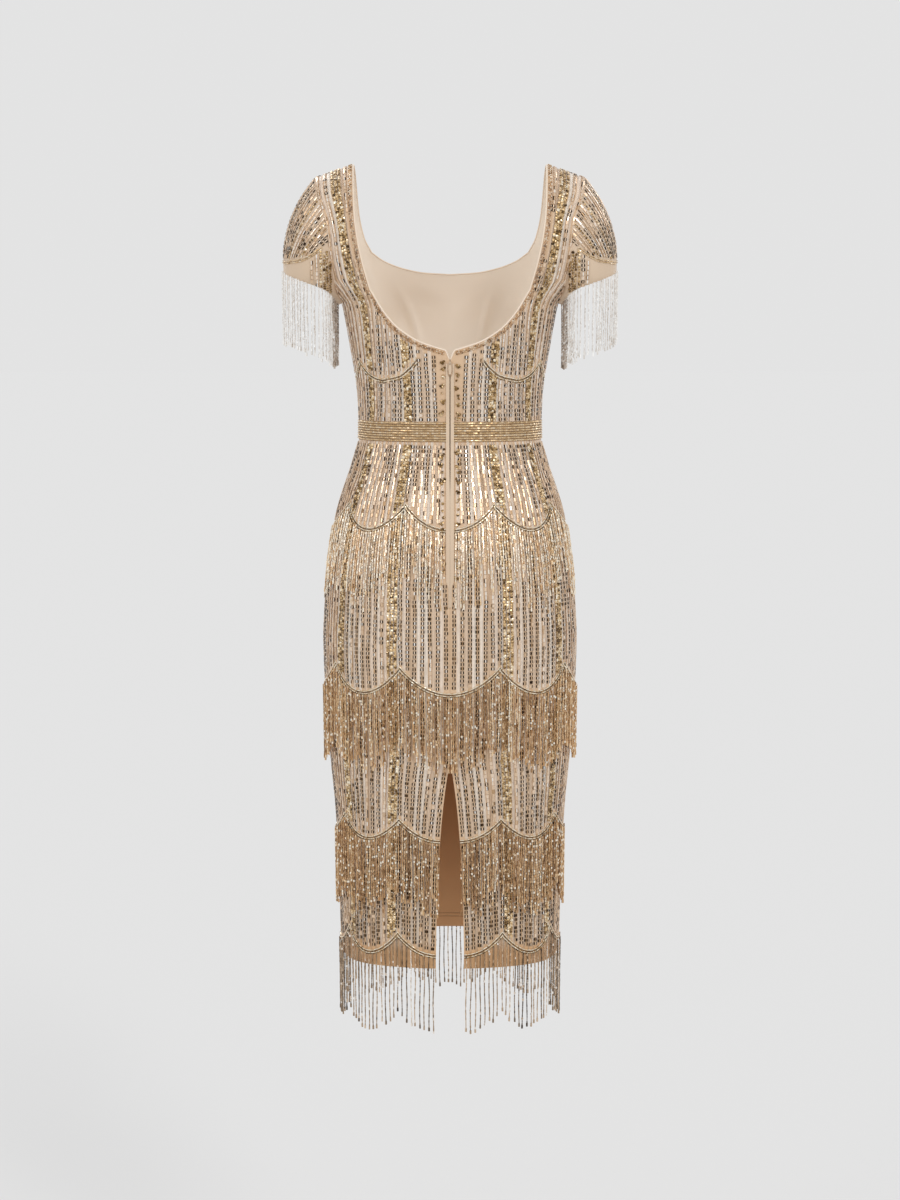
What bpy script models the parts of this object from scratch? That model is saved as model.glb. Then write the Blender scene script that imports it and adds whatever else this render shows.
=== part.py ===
"""A beaded fringe dress, hollow, as it stands out when it is worn.

Metres, +Z up. The dress's front faces -Y and its wearer's left is +X. The origin lies midway
between the two straps, at the height where the wearer's shoulders carry them.

Every panel lies on one form, the torso. Each of its level sections is a rounded ellipse whose
half width and depths come from the SECTIONS table. A panel is worked out for the left half of
the body, from its centre line (share 0) to the side seam (share 1), and mirrored.
"""

from collections import namedtuple
import math

import bmesh
import bpy
from mathutils.bvhtree import BVHTree
import numpy as np

# Cloth and seams
CLOTH = 0.0018  # wall of cloth, lining and beadwork together
SEAM = 0.0003  # gap between two pieces that are sewn together
TRIM_GAP = 0.0009  # gap between a panel and the trim that lies on it
SQUARENESS = 0.02  # how far a level section is rounder at its corners than an ellipse

Section = namedtuple("Section", "height half_width back front")
SECTIONS = [
    Section(-1.0640, 0.1470, 0.108, 0.102),
    Section(-1.0000, 0.1485, 0.109, 0.103),
    Section(-0.9160, 0.1515, 0.112, 0.105),
    Section(-0.8540, 0.1550, 0.116, 0.108),
    Section(-0.8000, 0.1600, 0.121, 0.111),
    Section(-0.7300, 0.1652, 0.127, 0.114),
    Section(-0.6685, 0.1685, 0.131, 0.115),
    Section(-0.6275, 0.1693, 0.133, 0.115),
    Section(-0.5870, 0.1675, 0.134, 0.114),
    Section(-0.5460, 0.1645, 0.132, 0.112),
    Section(-0.5050, 0.1592, 0.126, 0.110),
    Section(-0.4650, 0.1525, 0.115, 0.107),
    Section(-0.4450, 0.1473, 0.109, 0.105),
    Section(-0.4240, 0.1405, 0.102, 0.102),
    Section(-0.4040, 0.1335, 0.096, 0.099),
    Section(-0.3840, 0.1275, 0.091, 0.096),
    Section(-0.3610, 0.1218, 0.0870, 0.094),
    Section(-0.3360, 0.1215, 0.0868, 0.094),
    Section(-0.3030, 0.1228, 0.091, 0.098),
    Section(-0.2700, 0.1270, 0.097, 0.104),
    Section(-0.2380, 0.1325, 0.102, 0.109),
    Section(-0.1950, 0.1402, 0.106, 0.112),
    Section(-0.1830, 0.1430, 0.106, 0.112),
    Section(-0.1700, 0.1530, 0.106, 0.110),
    Section(-0.1500, 0.1710, 0.105, 0.105),
    Section(-0.1250, 0.1910, 0.103, 0.097),
    Section(-0.1000, 0.2060, 0.100, 0.088),
    Section(0.0100, 0.2300, 0.100, 0.084),
]

# Bust cups, one each side of the front
CUP_X, CUP_HEIGHT, CUP_DEPTH = 0.078, -0.222, 0.017
CUP_WIDE, CUP_TALL = 0.050, 0.052

# Soft waves of the skirt, which grow from the thigh to the hem
WAVE_TOP, HEM, WAVE_DEPTH = -0.76, -1.0615, 0.0022
FRONT_RISE = 0.0070  # how much higher the hem hangs at the front

# Shoulders
ROLL_HEIGHT = -0.105  # above it the straps start to curve over the shoulder
NECK_X, SHOULDER_SLOPE = 0.1278, 0.345
SHOULDER_GAP = 0.0015  # share of the roll that the shoulder seam's gap takes

UNDERARM = -0.1830
WAIST_TOP, WAIST_LOW = -0.3365, -0.3625

# Necklines and armholes, as heights and distances from the centre line
Edge = namedtuple("Edge", "sign low_neck high_neck join armhole")
BACK = Edge(
    sign=1,
    # x, height
    low_neck=[
        (0.0062, -0.2428),
        (0.0175, -0.2396),
        (0.0395, -0.2320),
        (0.0654, -0.2162),
        (0.0848, -0.1956),
        (0.1041, -0.1647),
    ],
    # height, x
    high_neck=[(-0.1647, 0.1041), (-0.1288, 0.1143), (-0.1006, 0.1203), (-0.0680, 0.1245), (0.0, NECK_X)],
    join=(0.1515, -0.1500),
    # height, x
    armhole=[
        (-0.1500, 0.1515),
        (-0.1140, 0.1567),
        (-0.0790, 0.1600),
        (-0.0600, 0.1665),
        (-0.0400, 0.1742),
        (-0.0170, 0.1768),
    ],
)
FRONT = Edge(
    sign=-1,
    low_neck=[(0.0, -0.1436), (0.0350, -0.1415), (0.0623, -0.1362), (0.0894, -0.1262), (0.1069, -0.1140)],
    high_neck=[(-0.1140, 0.1069), (-0.0939, 0.1170), (-0.0600, 0.1238), (0.0, NECK_X)],
    join=(0.1470, -0.1450),
    armhole=[
        (-0.1450, 0.1470),
        (-0.1100, 0.1485),
        (-0.0790, 0.1540),
        (-0.0600, 0.1625),
        (-0.0400, 0.1728),
        (-0.0170, 0.1768),
    ],
)
NECK_COLUMNS, STRAP_COLUMNS, UNDERARM_COLUMNS = 7, 3, 4
BODICE_ROWS, STRAP_ROWS = 7, 8

# Centre back: notch, zip and slit
NOTCH_HALF, NOTCH_LOW = 0.0062, -0.2570
ZIP_HALF, ZIP_LOW = 0.0010, -0.5750
SLIT_TOP, SLIT_HALF, SLIT_RATE = -0.7800, 0.0205, 0.110

SKIRT_COLUMNS = 10
SKIRT_HEIGHTS = [
    WAIST_LOW - SEAM, -0.384, -0.404, -0.424, -0.445, -0.470, -0.505, -0.546, -0.587, -0.6275,
    -0.6685, -0.730, SLIT_TOP, -0.820, -0.870, -0.930, -0.995, HEM,
]  # fmt: skip

# Scalloped trims. Cusps lie at these shares of a panel, from its centre line to its side seam
CUSPS = (0.235, 0.680)
Tier = namedtuple("Tier", "name cusp drop levels")
FRINGE_LONG = 0.107
TIERS = [
    Tier("hip", -0.4420, 0.0325, (0.4, 1.0)),
    Tier("thigh", -0.6535, 0.0350, (1.0,)),
    Tier("knee", -0.8580, 0.0280, (1.0,)),
    Tier("hem", -1.0130, 0.0290, (1.0,)),
]
LOCKS = (3, 5, 3)  # fringe locks on each stretch between cusps of a half panel
LOCK_SHARE = 0.46  # part of the trim that the locks take
HANG_CLEAR = 0.0010  # how much further out than the cloth below them the locks hang
TRIM_TALL, TRIM_THICK, BEAD_LINE = 0.0036, 0.0018, 0.0013
BODICE_CUSPS, BODICE_CUSP, BODICE_DROP = (0.19, 0.72), -0.2560, 0.0245
# share, height of the bead line's inner end, which rises to the low back neck
LINE_START = [(0.195, -0.2520), (0.25, -0.2645), (0.33, -0.2755), (0.455, BODICE_CUSP - BODICE_DROP)]
NECK_INSET, NECK_BAND, NECK_BAND_THICK = 0.0012, 0.0068, 0.0012

# Sleeves. The hem runs from the outside of the arm to the underarm, behind it and before it
SleeveHem = namedtuple("SleeveHem", "share x y height")
SLEEVE_HEM = [
    SleeveHem(0.00, 0.2215, 0.000, -0.1406),
    SleeveHem(0.22, 0.2170, 0.024, -0.1445),
    SleeveHem(0.45, 0.2040, 0.044, -0.1500),
    SleeveHem(0.64, 0.1880, 0.056, -0.1560),
    SleeveHem(0.76, 0.1730, 0.056, -0.1615),
    SleeveHem(0.86, 0.1590, 0.042, -0.1690),
    SleeveHem(0.93, 0.1520, 0.022, -0.1790),
    SleeveHem(1.00, 0.1500, 0.000, -0.1850),
]
# The bead line over the hem, as shares of the way round the arm and of the way from seam to hem
SLEEVE_LINE = [(0.0, 0.908), (0.20, 0.875), (0.325, 0.795), (0.42, 0.680), (0.487, 0.463), (0.506, 0.288), (0.516, 0.15)]
SLEEVE_FRONT = 0.90  # the front of the hem is that much nearer the arm than its back
SLEEVE_ROWS = 5
SLEEVE_CROWN = 0.0135  # how far the sleeve head rounds out over its chord
SLEEVE_SEAM = 0.0007
SLEEVE_LOCKS = 26
FRINGE_END = (-0.2390, 0.46)  # where the fringe ends outside the arm, and how it falls towards the body

# Zip
TAPE_HALF, TAPE_THICK, TAPE_INSET = 0.0110, 0.0008, 0.0009
COIL_HALF, COIL_THICK = 0.0022, 0.0017
PIVOT_HEIGHT, PIVOT_OUT = -0.2585, 0.0016  # the pull tab's pivot, over the cloth
BAR_HALF = 0.0005  # half thickness of the tab's top bar
BRIDGE_HALF, BRIDGE_BAR = 0.0006, 0.0010
BRIDGE_PLAY = 0.0003
TAB_HOLE, TAB_RAIL, TAB_LONG, TAB_WIDE = 0.0031, 0.0008, 0.0160, 0.0046
SLIDER_HALF, SLIDER_TALL, SLIDER_DEEP = 0.0032, 0.0075, 0.0026

SATIN = (0.80, 0.66, 0.50)
BEADED = (0.72, 0.60, 0.44)
GOLD = (0.62, 0.48, 0.27)
NUDE = (0.86, 0.72, 0.58)


FLIP = np.array([-1, 1, 1])


def through(table, at):
    """Values at these places on the smooth curve through a table, whose first column is the place.

    The slopes are those that never overshoot the table (harmonic means of its steps).
    """
    rows = np.array(table, float)
    rows = rows[np.argsort(rows[:, 0])]
    place, value = rows[:, 0], rows[:, 1:]
    step = np.diff(place)[:, None]
    rise = np.diff(value, axis=0) / step
    slope = np.zeros_like(value)
    same = rise[:-1] * rise[1:] > 0
    total = np.where(same, rise[:-1] + rise[1:], 1.0)
    slope[1:-1] = np.where(same, 2 * rise[:-1] * rise[1:] / total, 0.0)
    slope[0], slope[-1] = rise[0], rise[-1]
    at = np.atleast_1d(np.asarray(at, float))
    i = np.clip(np.searchsorted(place, at, "right") - 1, 0, len(place) - 2)
    s = ((at - place[i]) / step[i, 0])[:, None]
    h = step[i]
    found = (
        value[i] * (1 + 2 * s) * (1 - s) ** 2
        + value[i + 1] * s * s * (3 - 2 * s)
        + h * slope[i] * s * (1 - s) ** 2
        - h * slope[i + 1] * s * s * (1 - s)
    )
    return found


def across(angle):
    """Sideways share of a level section at an angle from its centre line."""
    return (np.sin(angle) + SQUARENESS * np.sin(3 * angle)) / (1 - SQUARENESS)


def along(angle):
    """Front-to-back share of a level section at an angle from its centre line."""
    return (np.cos(angle) - SQUARENESS * np.cos(3 * angle)) / (1 - SQUARENESS)


TURN = np.linspace(0, math.pi / 2, 400)
ACROSS = across(TURN)


def angle_at(x, height):
    """Angle of the section at this height whose point lies x from the centre line."""
    half_width = through(SECTIONS, height)[:, 0]
    return np.interp(np.asarray(x) / half_width, ACROSS, TURN)


def smooth_step(t):
    t = np.clip(t, 0, 1)
    return t * t * (3 - 2 * t)


def torso(edge, angle, height):
    """Points of the form at angles from the centre back (or centre front) and at heights."""
    angle, height = np.broadcast_arrays(np.asarray(angle, float), np.asarray(height, float))
    shape = angle.shape
    angle, height = angle.ravel(), height.ravel()
    half_width, back, front = through(SECTIONS, height).T
    x = half_width * across(angle)
    middle, half_depth = (back - front) / 2, (back + front) / 2
    y = middle + edge.sign * half_depth * along(angle)
    if edge.sign < 0:
        beside = (np.abs(x) - CUP_X) / CUP_WIDE
        above = (height - CUP_HEIGHT) / CUP_TALL
        y = y - CUP_DEPTH * np.exp(-(beside**2) - above**2) * smooth_step(along(angle) * 2.5)
    grown = smooth_step((WAVE_TOP - height) / (WAVE_TOP - HEM))
    from_back = angle if edge.sign > 0 else math.pi - angle
    wave = WAVE_DEPTH * grown * np.cos(6.4 * from_back + 1.1) * np.sin(from_back) ** 2
    x = x + wave * np.sin(angle)
    y = y + wave * edge.sign * np.cos(angle)
    return np.stack([x, y, height], axis=-1).reshape(shape + (3,))


def roll_tall(x):
    """Height of the strap's quarter turn over the shoulder, at x."""
    return -(np.asarray(x) - NECK_X) * SHOULDER_SLOPE - ROLL_HEIGHT


def strap(edge, x, turn):
    """Points of a strap. Turn 0 is where it starts to curve over the shoulder and 1 is its seam."""
    x, turn = np.broadcast_arrays(np.asarray(x, float), np.asarray(turn, float))
    quarter = np.clip(turn, 0, 1) * math.pi / 2
    height = ROLL_HEIGHT + roll_tall(x) * np.where(turn < 0, turn * math.pi / 2, np.sin(quarter))
    flat = torso(edge, angle_at(x.ravel(), height.ravel()).reshape(x.shape), height)
    flat[..., 0] = x
    flat[..., 1] *= np.cos(quarter)
    return flat


def turn_at(x, height):
    """The strap's turn at a height below or above the start of its curve."""
    share = (height - ROLL_HEIGHT) / roll_tall(x)
    return np.where(share < 0, share * 2 / math.pi, np.arcsin(np.clip(share, 0, 1)) * 2 / math.pi)


def outward(form, edge, u, v):
    """Unit normals of a form, by central differences."""
    e = 1e-4
    du = form(edge, u + e, v) - form(edge, u - e, v)
    dv = form(edge, u, v + e) - form(edge, u, v - e)
    n = np.cross(dv, du) * edge.sign
    return n / np.linalg.norm(n, axis=-1, keepdims=True)


def centre_x(edge, height):
    """Distance of a back panel's centre edge from the centre line: notch, zip, seam, then slit."""
    height = np.asarray(height, float)
    if edge.sign < 0:
        return np.zeros_like(height)
    notch = np.clip((height - NOTCH_LOW) / (-0.2428 - NOTCH_LOW), 0, 1)
    zipped = ZIP_HALF + (NOTCH_HALF - ZIP_HALF) * notch**1.6
    closed = SEAM / 2
    down = np.clip((SLIT_TOP - height) / SLIT_RATE, 0, None)
    return np.where(height > ZIP_LOW, zipped, closed + SLIT_HALF * (1 - np.exp(-down)))


def side_angle(height):
    """Angle of a panel's side edge, half a seam short of the side."""
    _, back, front = through(SECTIONS, height).T
    return math.pi / 2 - SEAM / (back + front)


def panel(edge, share, height, out=0.0):
    """Points of a panel from its centre edge (0) to its side seam (1); negative shares are its right half."""
    share, height = np.broadcast_arrays(np.asarray(share, float), np.asarray(height, float))
    shape = share.shape
    share, height = share.ravel(), height.ravel()
    start = angle_at(centre_x(edge, height), height)
    angle = start + np.abs(share) * (side_angle(height) - start)
    points = torso(edge, angle, height) + out * outward(torso, edge, angle, height)
    points[:, 0] *= np.where(share < 0, -1, 1)
    return points.reshape(shape + (3,))


def add_object(name, mesh_data, colour, metallic=0.0, roughness=0.6):
    """An object from a bmesh, faces out, with its own material."""
    bmesh.ops.recalc_face_normals(mesh_data, faces=mesh_data.faces)
    mesh = bpy.data.meshes.new(name)
    mesh_data.to_mesh(mesh)
    mesh_data.free()
    mesh.shade_smooth()
    mesh.set_sharp_from_angle(angle=math.radians(40))
    material = bpy.data.materials.new(name)
    material.use_nodes = True
    shader = material.node_tree.nodes["Principled BSDF"]
    shader.inputs["Base Color"].default_value = (*colour, 1)
    shader.inputs["Metallic"].default_value = metallic
    shader.inputs["Roughness"].default_value = roughness
    mesh.materials.append(material)
    made = bpy.data.objects.new(name, mesh)
    bpy.context.scene.collection.objects.link(made)
    return made


def wall(points, normals, quads, thick):
    """A closed wall: the points' surface, the same moved in by its thickness, and its edges joined."""
    made = bmesh.new()
    outer = [made.verts.new(p) for p in points]
    inner = [made.verts.new(p) for p in points - thick * normals]
    sides = {}
    for quad in quads:
        for corners in halved(points, quad):
            made.faces.new([outer[i] for i in corners])
            made.faces.new([inner[i] for i in reversed(corners)])
        for a, b in zip(quad, quad[1:] + quad[:1]):
            if (b, a) in sides:
                del sides[b, a]
            else:
                sides[a, b] = True
    for a, b in sides:
        made.faces.new([outer[b], outer[a], inner[a], inner[b]])
    return made


def halved(points, quad):
    """The two triangles of a quad, cut along its shorter diagonal."""
    a, b, c, d = quad
    if np.linalg.norm(points[a] - points[c]) < np.linalg.norm(points[b] - points[d]) + 1e-6:
        return (a, b, c), (a, c, d)
    return (a, b, d), (b, c, d)


def surface(points, quads):
    """The outer surface of a wall, to lay trims on."""
    faces = [corners for quad in quads for corners in halved(points, quad)]
    return BVHTree.FromPolygons([tuple(p) for p in points], faces)


def laid(on, points, normals, out):
    """Points brought onto a surface and moved out from it."""
    points = np.asarray(points, float)
    flat = points.reshape(-1, 3)
    found = np.array([on.find_nearest(tuple(p))[0] for p in flat])
    return (found + out * np.asarray(normals).reshape(-1, 3)).reshape(points.shape)


def mirrored(points, normals, quads):
    return points * FLIP, normals * FLIP, [tuple(reversed(q)) for q in quads]


def both_halves(points, normals, quads):
    """A half panel and its mirror image, sharing the points on the centre line."""
    on_line = np.abs(points[:, 0]) < 1e-7
    other = np.where(on_line, np.arange(len(points)), 0)
    other[~on_line] = len(points) + np.arange((~on_line).sum())
    more = [tuple(int(other[i]) for i in reversed(q)) for q in quads]
    return (
        np.concatenate([points, points[~on_line] * FLIP]),
        np.concatenate([normals, normals[~on_line] * FLIP]),
        quads + more,
    )


def grid_quads(rows, columns, first=0):
    return [
        (first + r * columns + c, first + r * columns + c + 1, first + (r + 1) * columns + c + 1, first + (r + 1) * columns + c)
        for r in range(rows - 1)
        for c in range(columns - 1)
    ]


def low_neckline(edge, count):
    """x and heights along the low part of a neckline, at equal steps of its length."""
    x = np.linspace(edge.low_neck[0][0], edge.low_neck[-1][0], 200)
    height = through(edge.low_neck, x)[:, 0]
    run = np.append(0, np.cumsum(np.hypot(np.diff(x), np.diff(height))))
    x = np.interp(np.linspace(0, run[-1], count + 1), run, x)
    return x, through(edge.low_neck, x)[:, 0]


def bodice_top(edge):
    """Angles and heights of the lower bodice's top: low neckline, foot of the strap, underarm."""
    last = edge.low_neck[-1][0]
    x, height = low_neckline(edge, NECK_COLUMNS)
    share = np.linspace(0, 1, STRAP_COLUMNS + 1)[1:]
    x = np.append(x, last + (edge.join[0] - last) * share)
    height = np.append(height, edge.low_neck[-1][1] + (edge.join[1] - edge.low_neck[-1][1]) * share)
    angle = angle_at(x, height)
    share = np.linspace(0, 1, UNDERARM_COLUMNS + 1)[1:]
    side = side_angle(np.array([UNDERARM]))[0]
    angle = np.append(angle, angle[-1] + (side - angle[-1]) * share)
    height = np.append(height, edge.join[1] + (UNDERARM - edge.join[1]) * np.sin(share * math.pi / 2))
    return angle, height


def strap_edge(edge, table, turns):
    """x of a strap's edge at each turn, from its table of heights."""
    x = np.full(len(turns), table[0][1])
    for _ in range(12):
        height = strap(edge, x, turns)[:, 2]
        x = through(table, np.clip(height, table[0][0], table[-1][0]))[:, 0]
    return x


def bodice_half(edge):
    """Points, normals and quads of half a bodice panel, and its armhole from the underarm up."""
    angle_top, height_top = bodice_top(edge)
    columns = len(angle_top)
    low = WAIST_TOP + SEAM
    even = np.linspace(0, 1, columns) * side_angle(np.array([low]))[0]
    points, normals = [], []
    for share in np.linspace(0, 1, BODICE_ROWS + 1):
        height = low + (height_top - low) * share
        angle = (even + angle_top) / 2 * (1 - share) + angle_top * share
        angle[0] = angle_at(centre_x(edge, height[:1]), height[:1])[0]
        angle[-1] = side_angle(height[-1:])[0]
        points.append(torso(edge, angle, height))
        normals.append(outward(torso, edge, angle, height))
    quads = grid_quads(BODICE_ROWS + 1, columns)
    first = BODICE_ROWS * columns + NECK_COLUMNS
    foot = list(range(first, first + STRAP_COLUMNS + 1))
    inner_x, inner_height = edge.low_neck[-1]
    turns_in = turn_at(inner_x, inner_height)
    turns_out = turn_at(*edge.join)
    end = 1 - SHOULDER_GAP
    rise = np.linspace(0, 1, STRAP_ROWS + 1)[1:]
    turns_in = turns_in + (end - turns_in) * rise
    turns_out = turns_out + (end - turns_out) * rise
    x_in = strap_edge(edge, edge.high_neck, turns_in)
    x_out = strap_edge(edge, edge.armhole, turns_out)
    count = (BODICE_ROWS + 1) * columns
    below = foot
    armhole = list(range(count - 1, first + STRAP_COLUMNS, -1)) + [first + STRAP_COLUMNS]
    for row in range(STRAP_ROWS):
        share = np.linspace(0, 1, STRAP_COLUMNS + 1)
        x = x_in[row] + (x_out[row] - x_in[row]) * share
        turn = turns_in[row] + (turns_out[row] - turns_in[row]) * share
        points.append(strap(edge, x, turn))
        normals.append(outward(strap, edge, x, turn))
        above = list(range(count, count + STRAP_COLUMNS + 1))
        quads += [(below[c], below[c + 1], above[c + 1], above[c]) for c in range(STRAP_COLUMNS)]
        below = above
        count += STRAP_COLUMNS + 1
        armhole.append(count - 1)
    return np.concatenate(points), np.concatenate(normals), quads, armhole


def skirt_half(edge):
    share = np.linspace(0, 1, SKIRT_COLUMNS + 1)
    height = np.array(SKIRT_HEIGHTS)[:, None] + np.zeros(len(share))
    if edge.sign < 0:
        height[-1] += FRONT_RISE * (1 - share**2)
    height = height.clip(HEM)
    start = angle_at(centre_x(edge, height.ravel()), height.ravel()).reshape(height.shape)
    angle = start + share * (side_angle(height.ravel()).reshape(height.shape) - start)
    points = torso(edge, angle, height).reshape(-1, 3)
    normals = outward(torso, edge, angle, height).reshape(-1, 3)
    return points, normals, grid_quads(len(SKIRT_HEIGHTS), len(share))


def waistband_half(edge):
    share = np.linspace(0, 1, SKIRT_COLUMNS + 1)
    height = np.linspace(WAIST_LOW, WAIST_TOP, 3)[:, None]
    points = panel(edge, share, height)
    outer = panel(edge, share, height, 1.0) - points
    return (points + 0.0006 * outer).reshape(-1, 3), outer.reshape(-1, 3), grid_quads(3, len(share))


def make_panels():
    """Bodice, waistband and skirt: one front piece and two back pieces of each.

    Returns the armholes and the panels' outer surfaces.
    """
    armholes, surfaces = {}, {}
    for name, half, colour in (
        ("bodice", bodice_half, BEADED),
        ("waistband", waistband_half, GOLD),
        ("skirt", skirt_half, BEADED),
    ):
        back, front = half(BACK), half(FRONT)
        thick = CLOTH + 0.0006 if name == "waistband" else CLOTH
        add_object(name + "_front", wall(*both_halves(*front[:3]), thick), colour)
        add_object(name + "_back_left", wall(*back[:3], thick), colour)
        add_object(name + "_back_right", wall(*mirrored(*back[:3]), thick), colour)
        for edge, made in ((BACK, back), (FRONT, front)):
            surfaces[name, edge.sign] = surface(made[0], made[2])
            if name == "bodice":
                armholes[edge.sign] = (made[0][made[3]], made[1][made[3]])
    return armholes, surfaces


def scallop(share, cusps, cusp, drop):
    """Height of a scalloped line: a parabola that hangs between each two cusps."""
    ends = np.array([-cusps[0], cusps[0], cusps[1], 2 - cusps[1]])
    share = np.abs(share)
    i = np.clip(np.searchsorted(ends, share, "right") - 1, 0, len(ends) - 2)
    t = (share - (ends[i] + ends[i + 1]) / 2) / ((ends[i + 1] - ends[i]) / 2)
    return cusp - drop * (1 - t * t)


def lock_stations(cusps):
    """Shares where the locks of a half panel start and end, in order, and the cusps between them."""
    ends = (0.0, *cusps, 1.0)
    places, is_lock = [0.0], []
    for low, high, count in zip(ends, ends[1:], LOCKS):
        step = (high - low) / count
        for i in range(count):
            middle = low + (i + 0.5) * step
            places += [middle - LOCK_SHARE * step / 2, middle + LOCK_SHARE * step / 2]
            is_lock += [False, True]
        places.append(high)
        is_lock.append(False)
    return places, is_lock


def swing(edge, share, top, low):
    """How far out a strand hanging from top is pushed by the skirt below it, down to low."""
    heights = top + (low - top) * np.linspace(0, 1, 9)
    line = panel(edge, share, heights)
    n = outward_level(edge, share, top)
    return max(0.0, float(((line - line[0]) @ n).max()))


def outward_level(edge, share, height):
    """Level direction straight out of a panel."""
    n = panel(edge, share, height, 1.0) - panel(edge, share, height)
    n[..., 2] = 0
    return n / np.linalg.norm(n, axis=-1, keepdims=True)


def strip(rings):
    """A closed strip through four-cornered sections, and the lowest-facing side of each stretch."""
    made = bmesh.new()
    loops = [[made.verts.new(p) for p in ring] for ring in rings]
    bottoms = []
    for n, (a, b) in enumerate(zip(loops, loops[1:])):
        faces = []
        for i in range(4):
            j = (i + 1) % 4
            faces.append(made.faces.new([a[i], a[j], b[j], b[i]]))
        middle = (rings[n] + rings[n + 1]).mean(axis=0) / 2
        bottoms.append(min((faces[1], faces[2]), key=lambda f: f.calc_area() * facing_down(f, middle)))
    made.faces.new(list(reversed(loops[0])))
    made.faces.new(loops[-1])
    return made, bottoms


def facing_down(face, middle):
    """How far up a face looks, as seen from inside the piece: least for the face that looks down."""
    face.normal_update()
    away = np.array(face.calc_center_median()) - middle
    return face.normal.z * np.sign(np.array(face.normal) @ away)


def hang_lock(made, face, moves):
    """Pulls a bottom face down into a four-sided lock, one stretch for each list of moves."""
    for move in moves:
        grown = bmesh.ops.extrude_discrete_faces(made, faces=[face])
        face = grown["faces"][0]
        for vertex, by in zip(face.verts, move):
            vertex.co = [a + b for a, b in zip(vertex.co, by)]


def trim_rings(edge, on, shares, heights, tall, thick):
    """Sections of a trim on a half panel: inner top, outer top, outer bottom and inner bottom corners."""
    rings = []
    for drop, out in ((0, TRIM_GAP), (0, TRIM_GAP + thick), (tall, TRIM_GAP + thick), (tall, TRIM_GAP)):
        points = panel(edge, shares, heights - drop)
        normals = panel(edge, shares, heights - drop, 1.0) - points
        rings.append(laid(on, points, normals, out))
    return np.stack(rings, axis=1)


def add_piece(name, rings, is_lock=(), falls=()):
    """A strip, with a lock pulled down from each stretch that has one, by the falls of its ends."""
    made, bottoms = strip(rings)
    for i, lock in enumerate(is_lock):
        if lock:
            steps = np.diff(falls[i : i + 2], axis=1, prepend=0.0)
            hang_lock(made, bottoms[i], [(a, a, b, b) for a, b in zip(*steps)])
    add_object(name, made, GOLD, 0.4, 0.35)


def add_sides(name, edge, rings, is_lock=(), falls=None):
    """The front piece or the two back pieces of a trim, from its left half."""
    if falls is None:
        falls = np.zeros((len(rings), 1, 3))
    is_lock = list(is_lock)
    if edge.sign < 0:
        rings = np.concatenate([rings[:0:-1] * FLIP, rings])
        falls = np.concatenate([falls[:0:-1] * FLIP, falls])
        add_piece(name + "_front", rings, is_lock[::-1] + is_lock, falls)
    else:
        add_piece(name + "_back_left", rings, is_lock, falls)
        add_piece(name + "_back_right", rings[::-1] * FLIP, is_lock[::-1], falls[::-1] * FLIP)


def make_tiers(surfaces):
    """Four tiers of fringe, each with a front piece and two back pieces."""
    places, is_lock = lock_stations(CUSPS)
    places = np.array(places)
    for tier in TIERS:
        for edge in (BACK, FRONT):
            heights = scallop(places, CUSPS, tier.cusp, tier.drop)
            if edge.sign < 0 and tier.name == "hem":
                heights += FRONT_RISE * (1 - places**2)
            rings = trim_rings(edge, surfaces["skirt", edge.sign], places, heights, TRIM_TALL, TRIM_THICK)
            falls = []
            for share, height in zip(places, heights - TRIM_TALL):
                out = outward_level(edge, share, height)
                fall = []
                for level in tier.levels:
                    push = swing(edge, share, height, height - FRINGE_LONG * level)
                    fall.append(out * (push + HANG_CLEAR) + np.array([0, 0, -FRINGE_LONG * level]))
                falls.append(fall)
            add_sides("fringe_" + tier.name, edge, rings, is_lock, np.array(falls))


def make_bodice_trims(surfaces):
    """The scalloped bead lines that run round the bodice under the bust, ending at the low back neck."""
    for edge, shares in ((FRONT, np.linspace(0, 1, 25)), (BACK, np.linspace(LINE_START[0][0], 1, 19))):
        heights = scallop(shares, BODICE_CUSPS, BODICE_CUSP, BODICE_DROP)
        if edge.sign > 0:
            heights = np.where(shares < LINE_START[-1][0], through(LINE_START, shares)[:, 0], heights)
        on = surfaces["bodice", edge.sign]
        add_sides("bodice_trim", edge, trim_rings(edge, on, shares, heights, TRIM_TALL, BEAD_LINE))


def neck_line(edge):
    """Points along a neckline from its centre end to its shoulder end, their normals and the line's direction."""
    x, height = low_neckline(edge, 2 * NECK_COLUMNS)
    start = float(turn_at(*edge.low_neck[-1]))
    turn = start + (1 - 4 * SHOULDER_GAP - start) * np.linspace(0, 1, STRAP_ROWS * 2 + 1)[1:]
    x = np.append(x, strap_edge(edge, edge.high_neck, turn))
    turn = np.append(turn_at(x[: len(height)], height), turn)
    points, normals = strap(edge, x, turn), outward(strap, edge, x, turn)
    run = np.gradient(points, axis=0)
    if edge.sign < 0:
        run[0] = (1, 0, 0)
    return points, normals, run * -edge.sign


def band(on, points, normals, run, near, far, thick):
    """Sections of a flat band beside a line on a surface, between two distances from the line."""
    aside = np.cross(run, normals)
    aside /= np.linalg.norm(aside, axis=1, keepdims=True)
    corners = [(near, 0), (near, thick), (far, thick), (far, 0)]
    return np.stack([laid(on, points + by * aside, normals, TRIM_GAP + out) for by, out in corners], axis=1)


def make_neck_bands(surfaces):
    """Narrow beaded bands along the necklines, on the outside of the panels."""
    for edge in (BACK, FRONT):
        line = neck_line(edge)
        add_sides("neck_band", edge, band(surfaces["bodice", edge.sign], *line, NECK_INSET, NECK_BAND, NECK_BAND_THICK))


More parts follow.
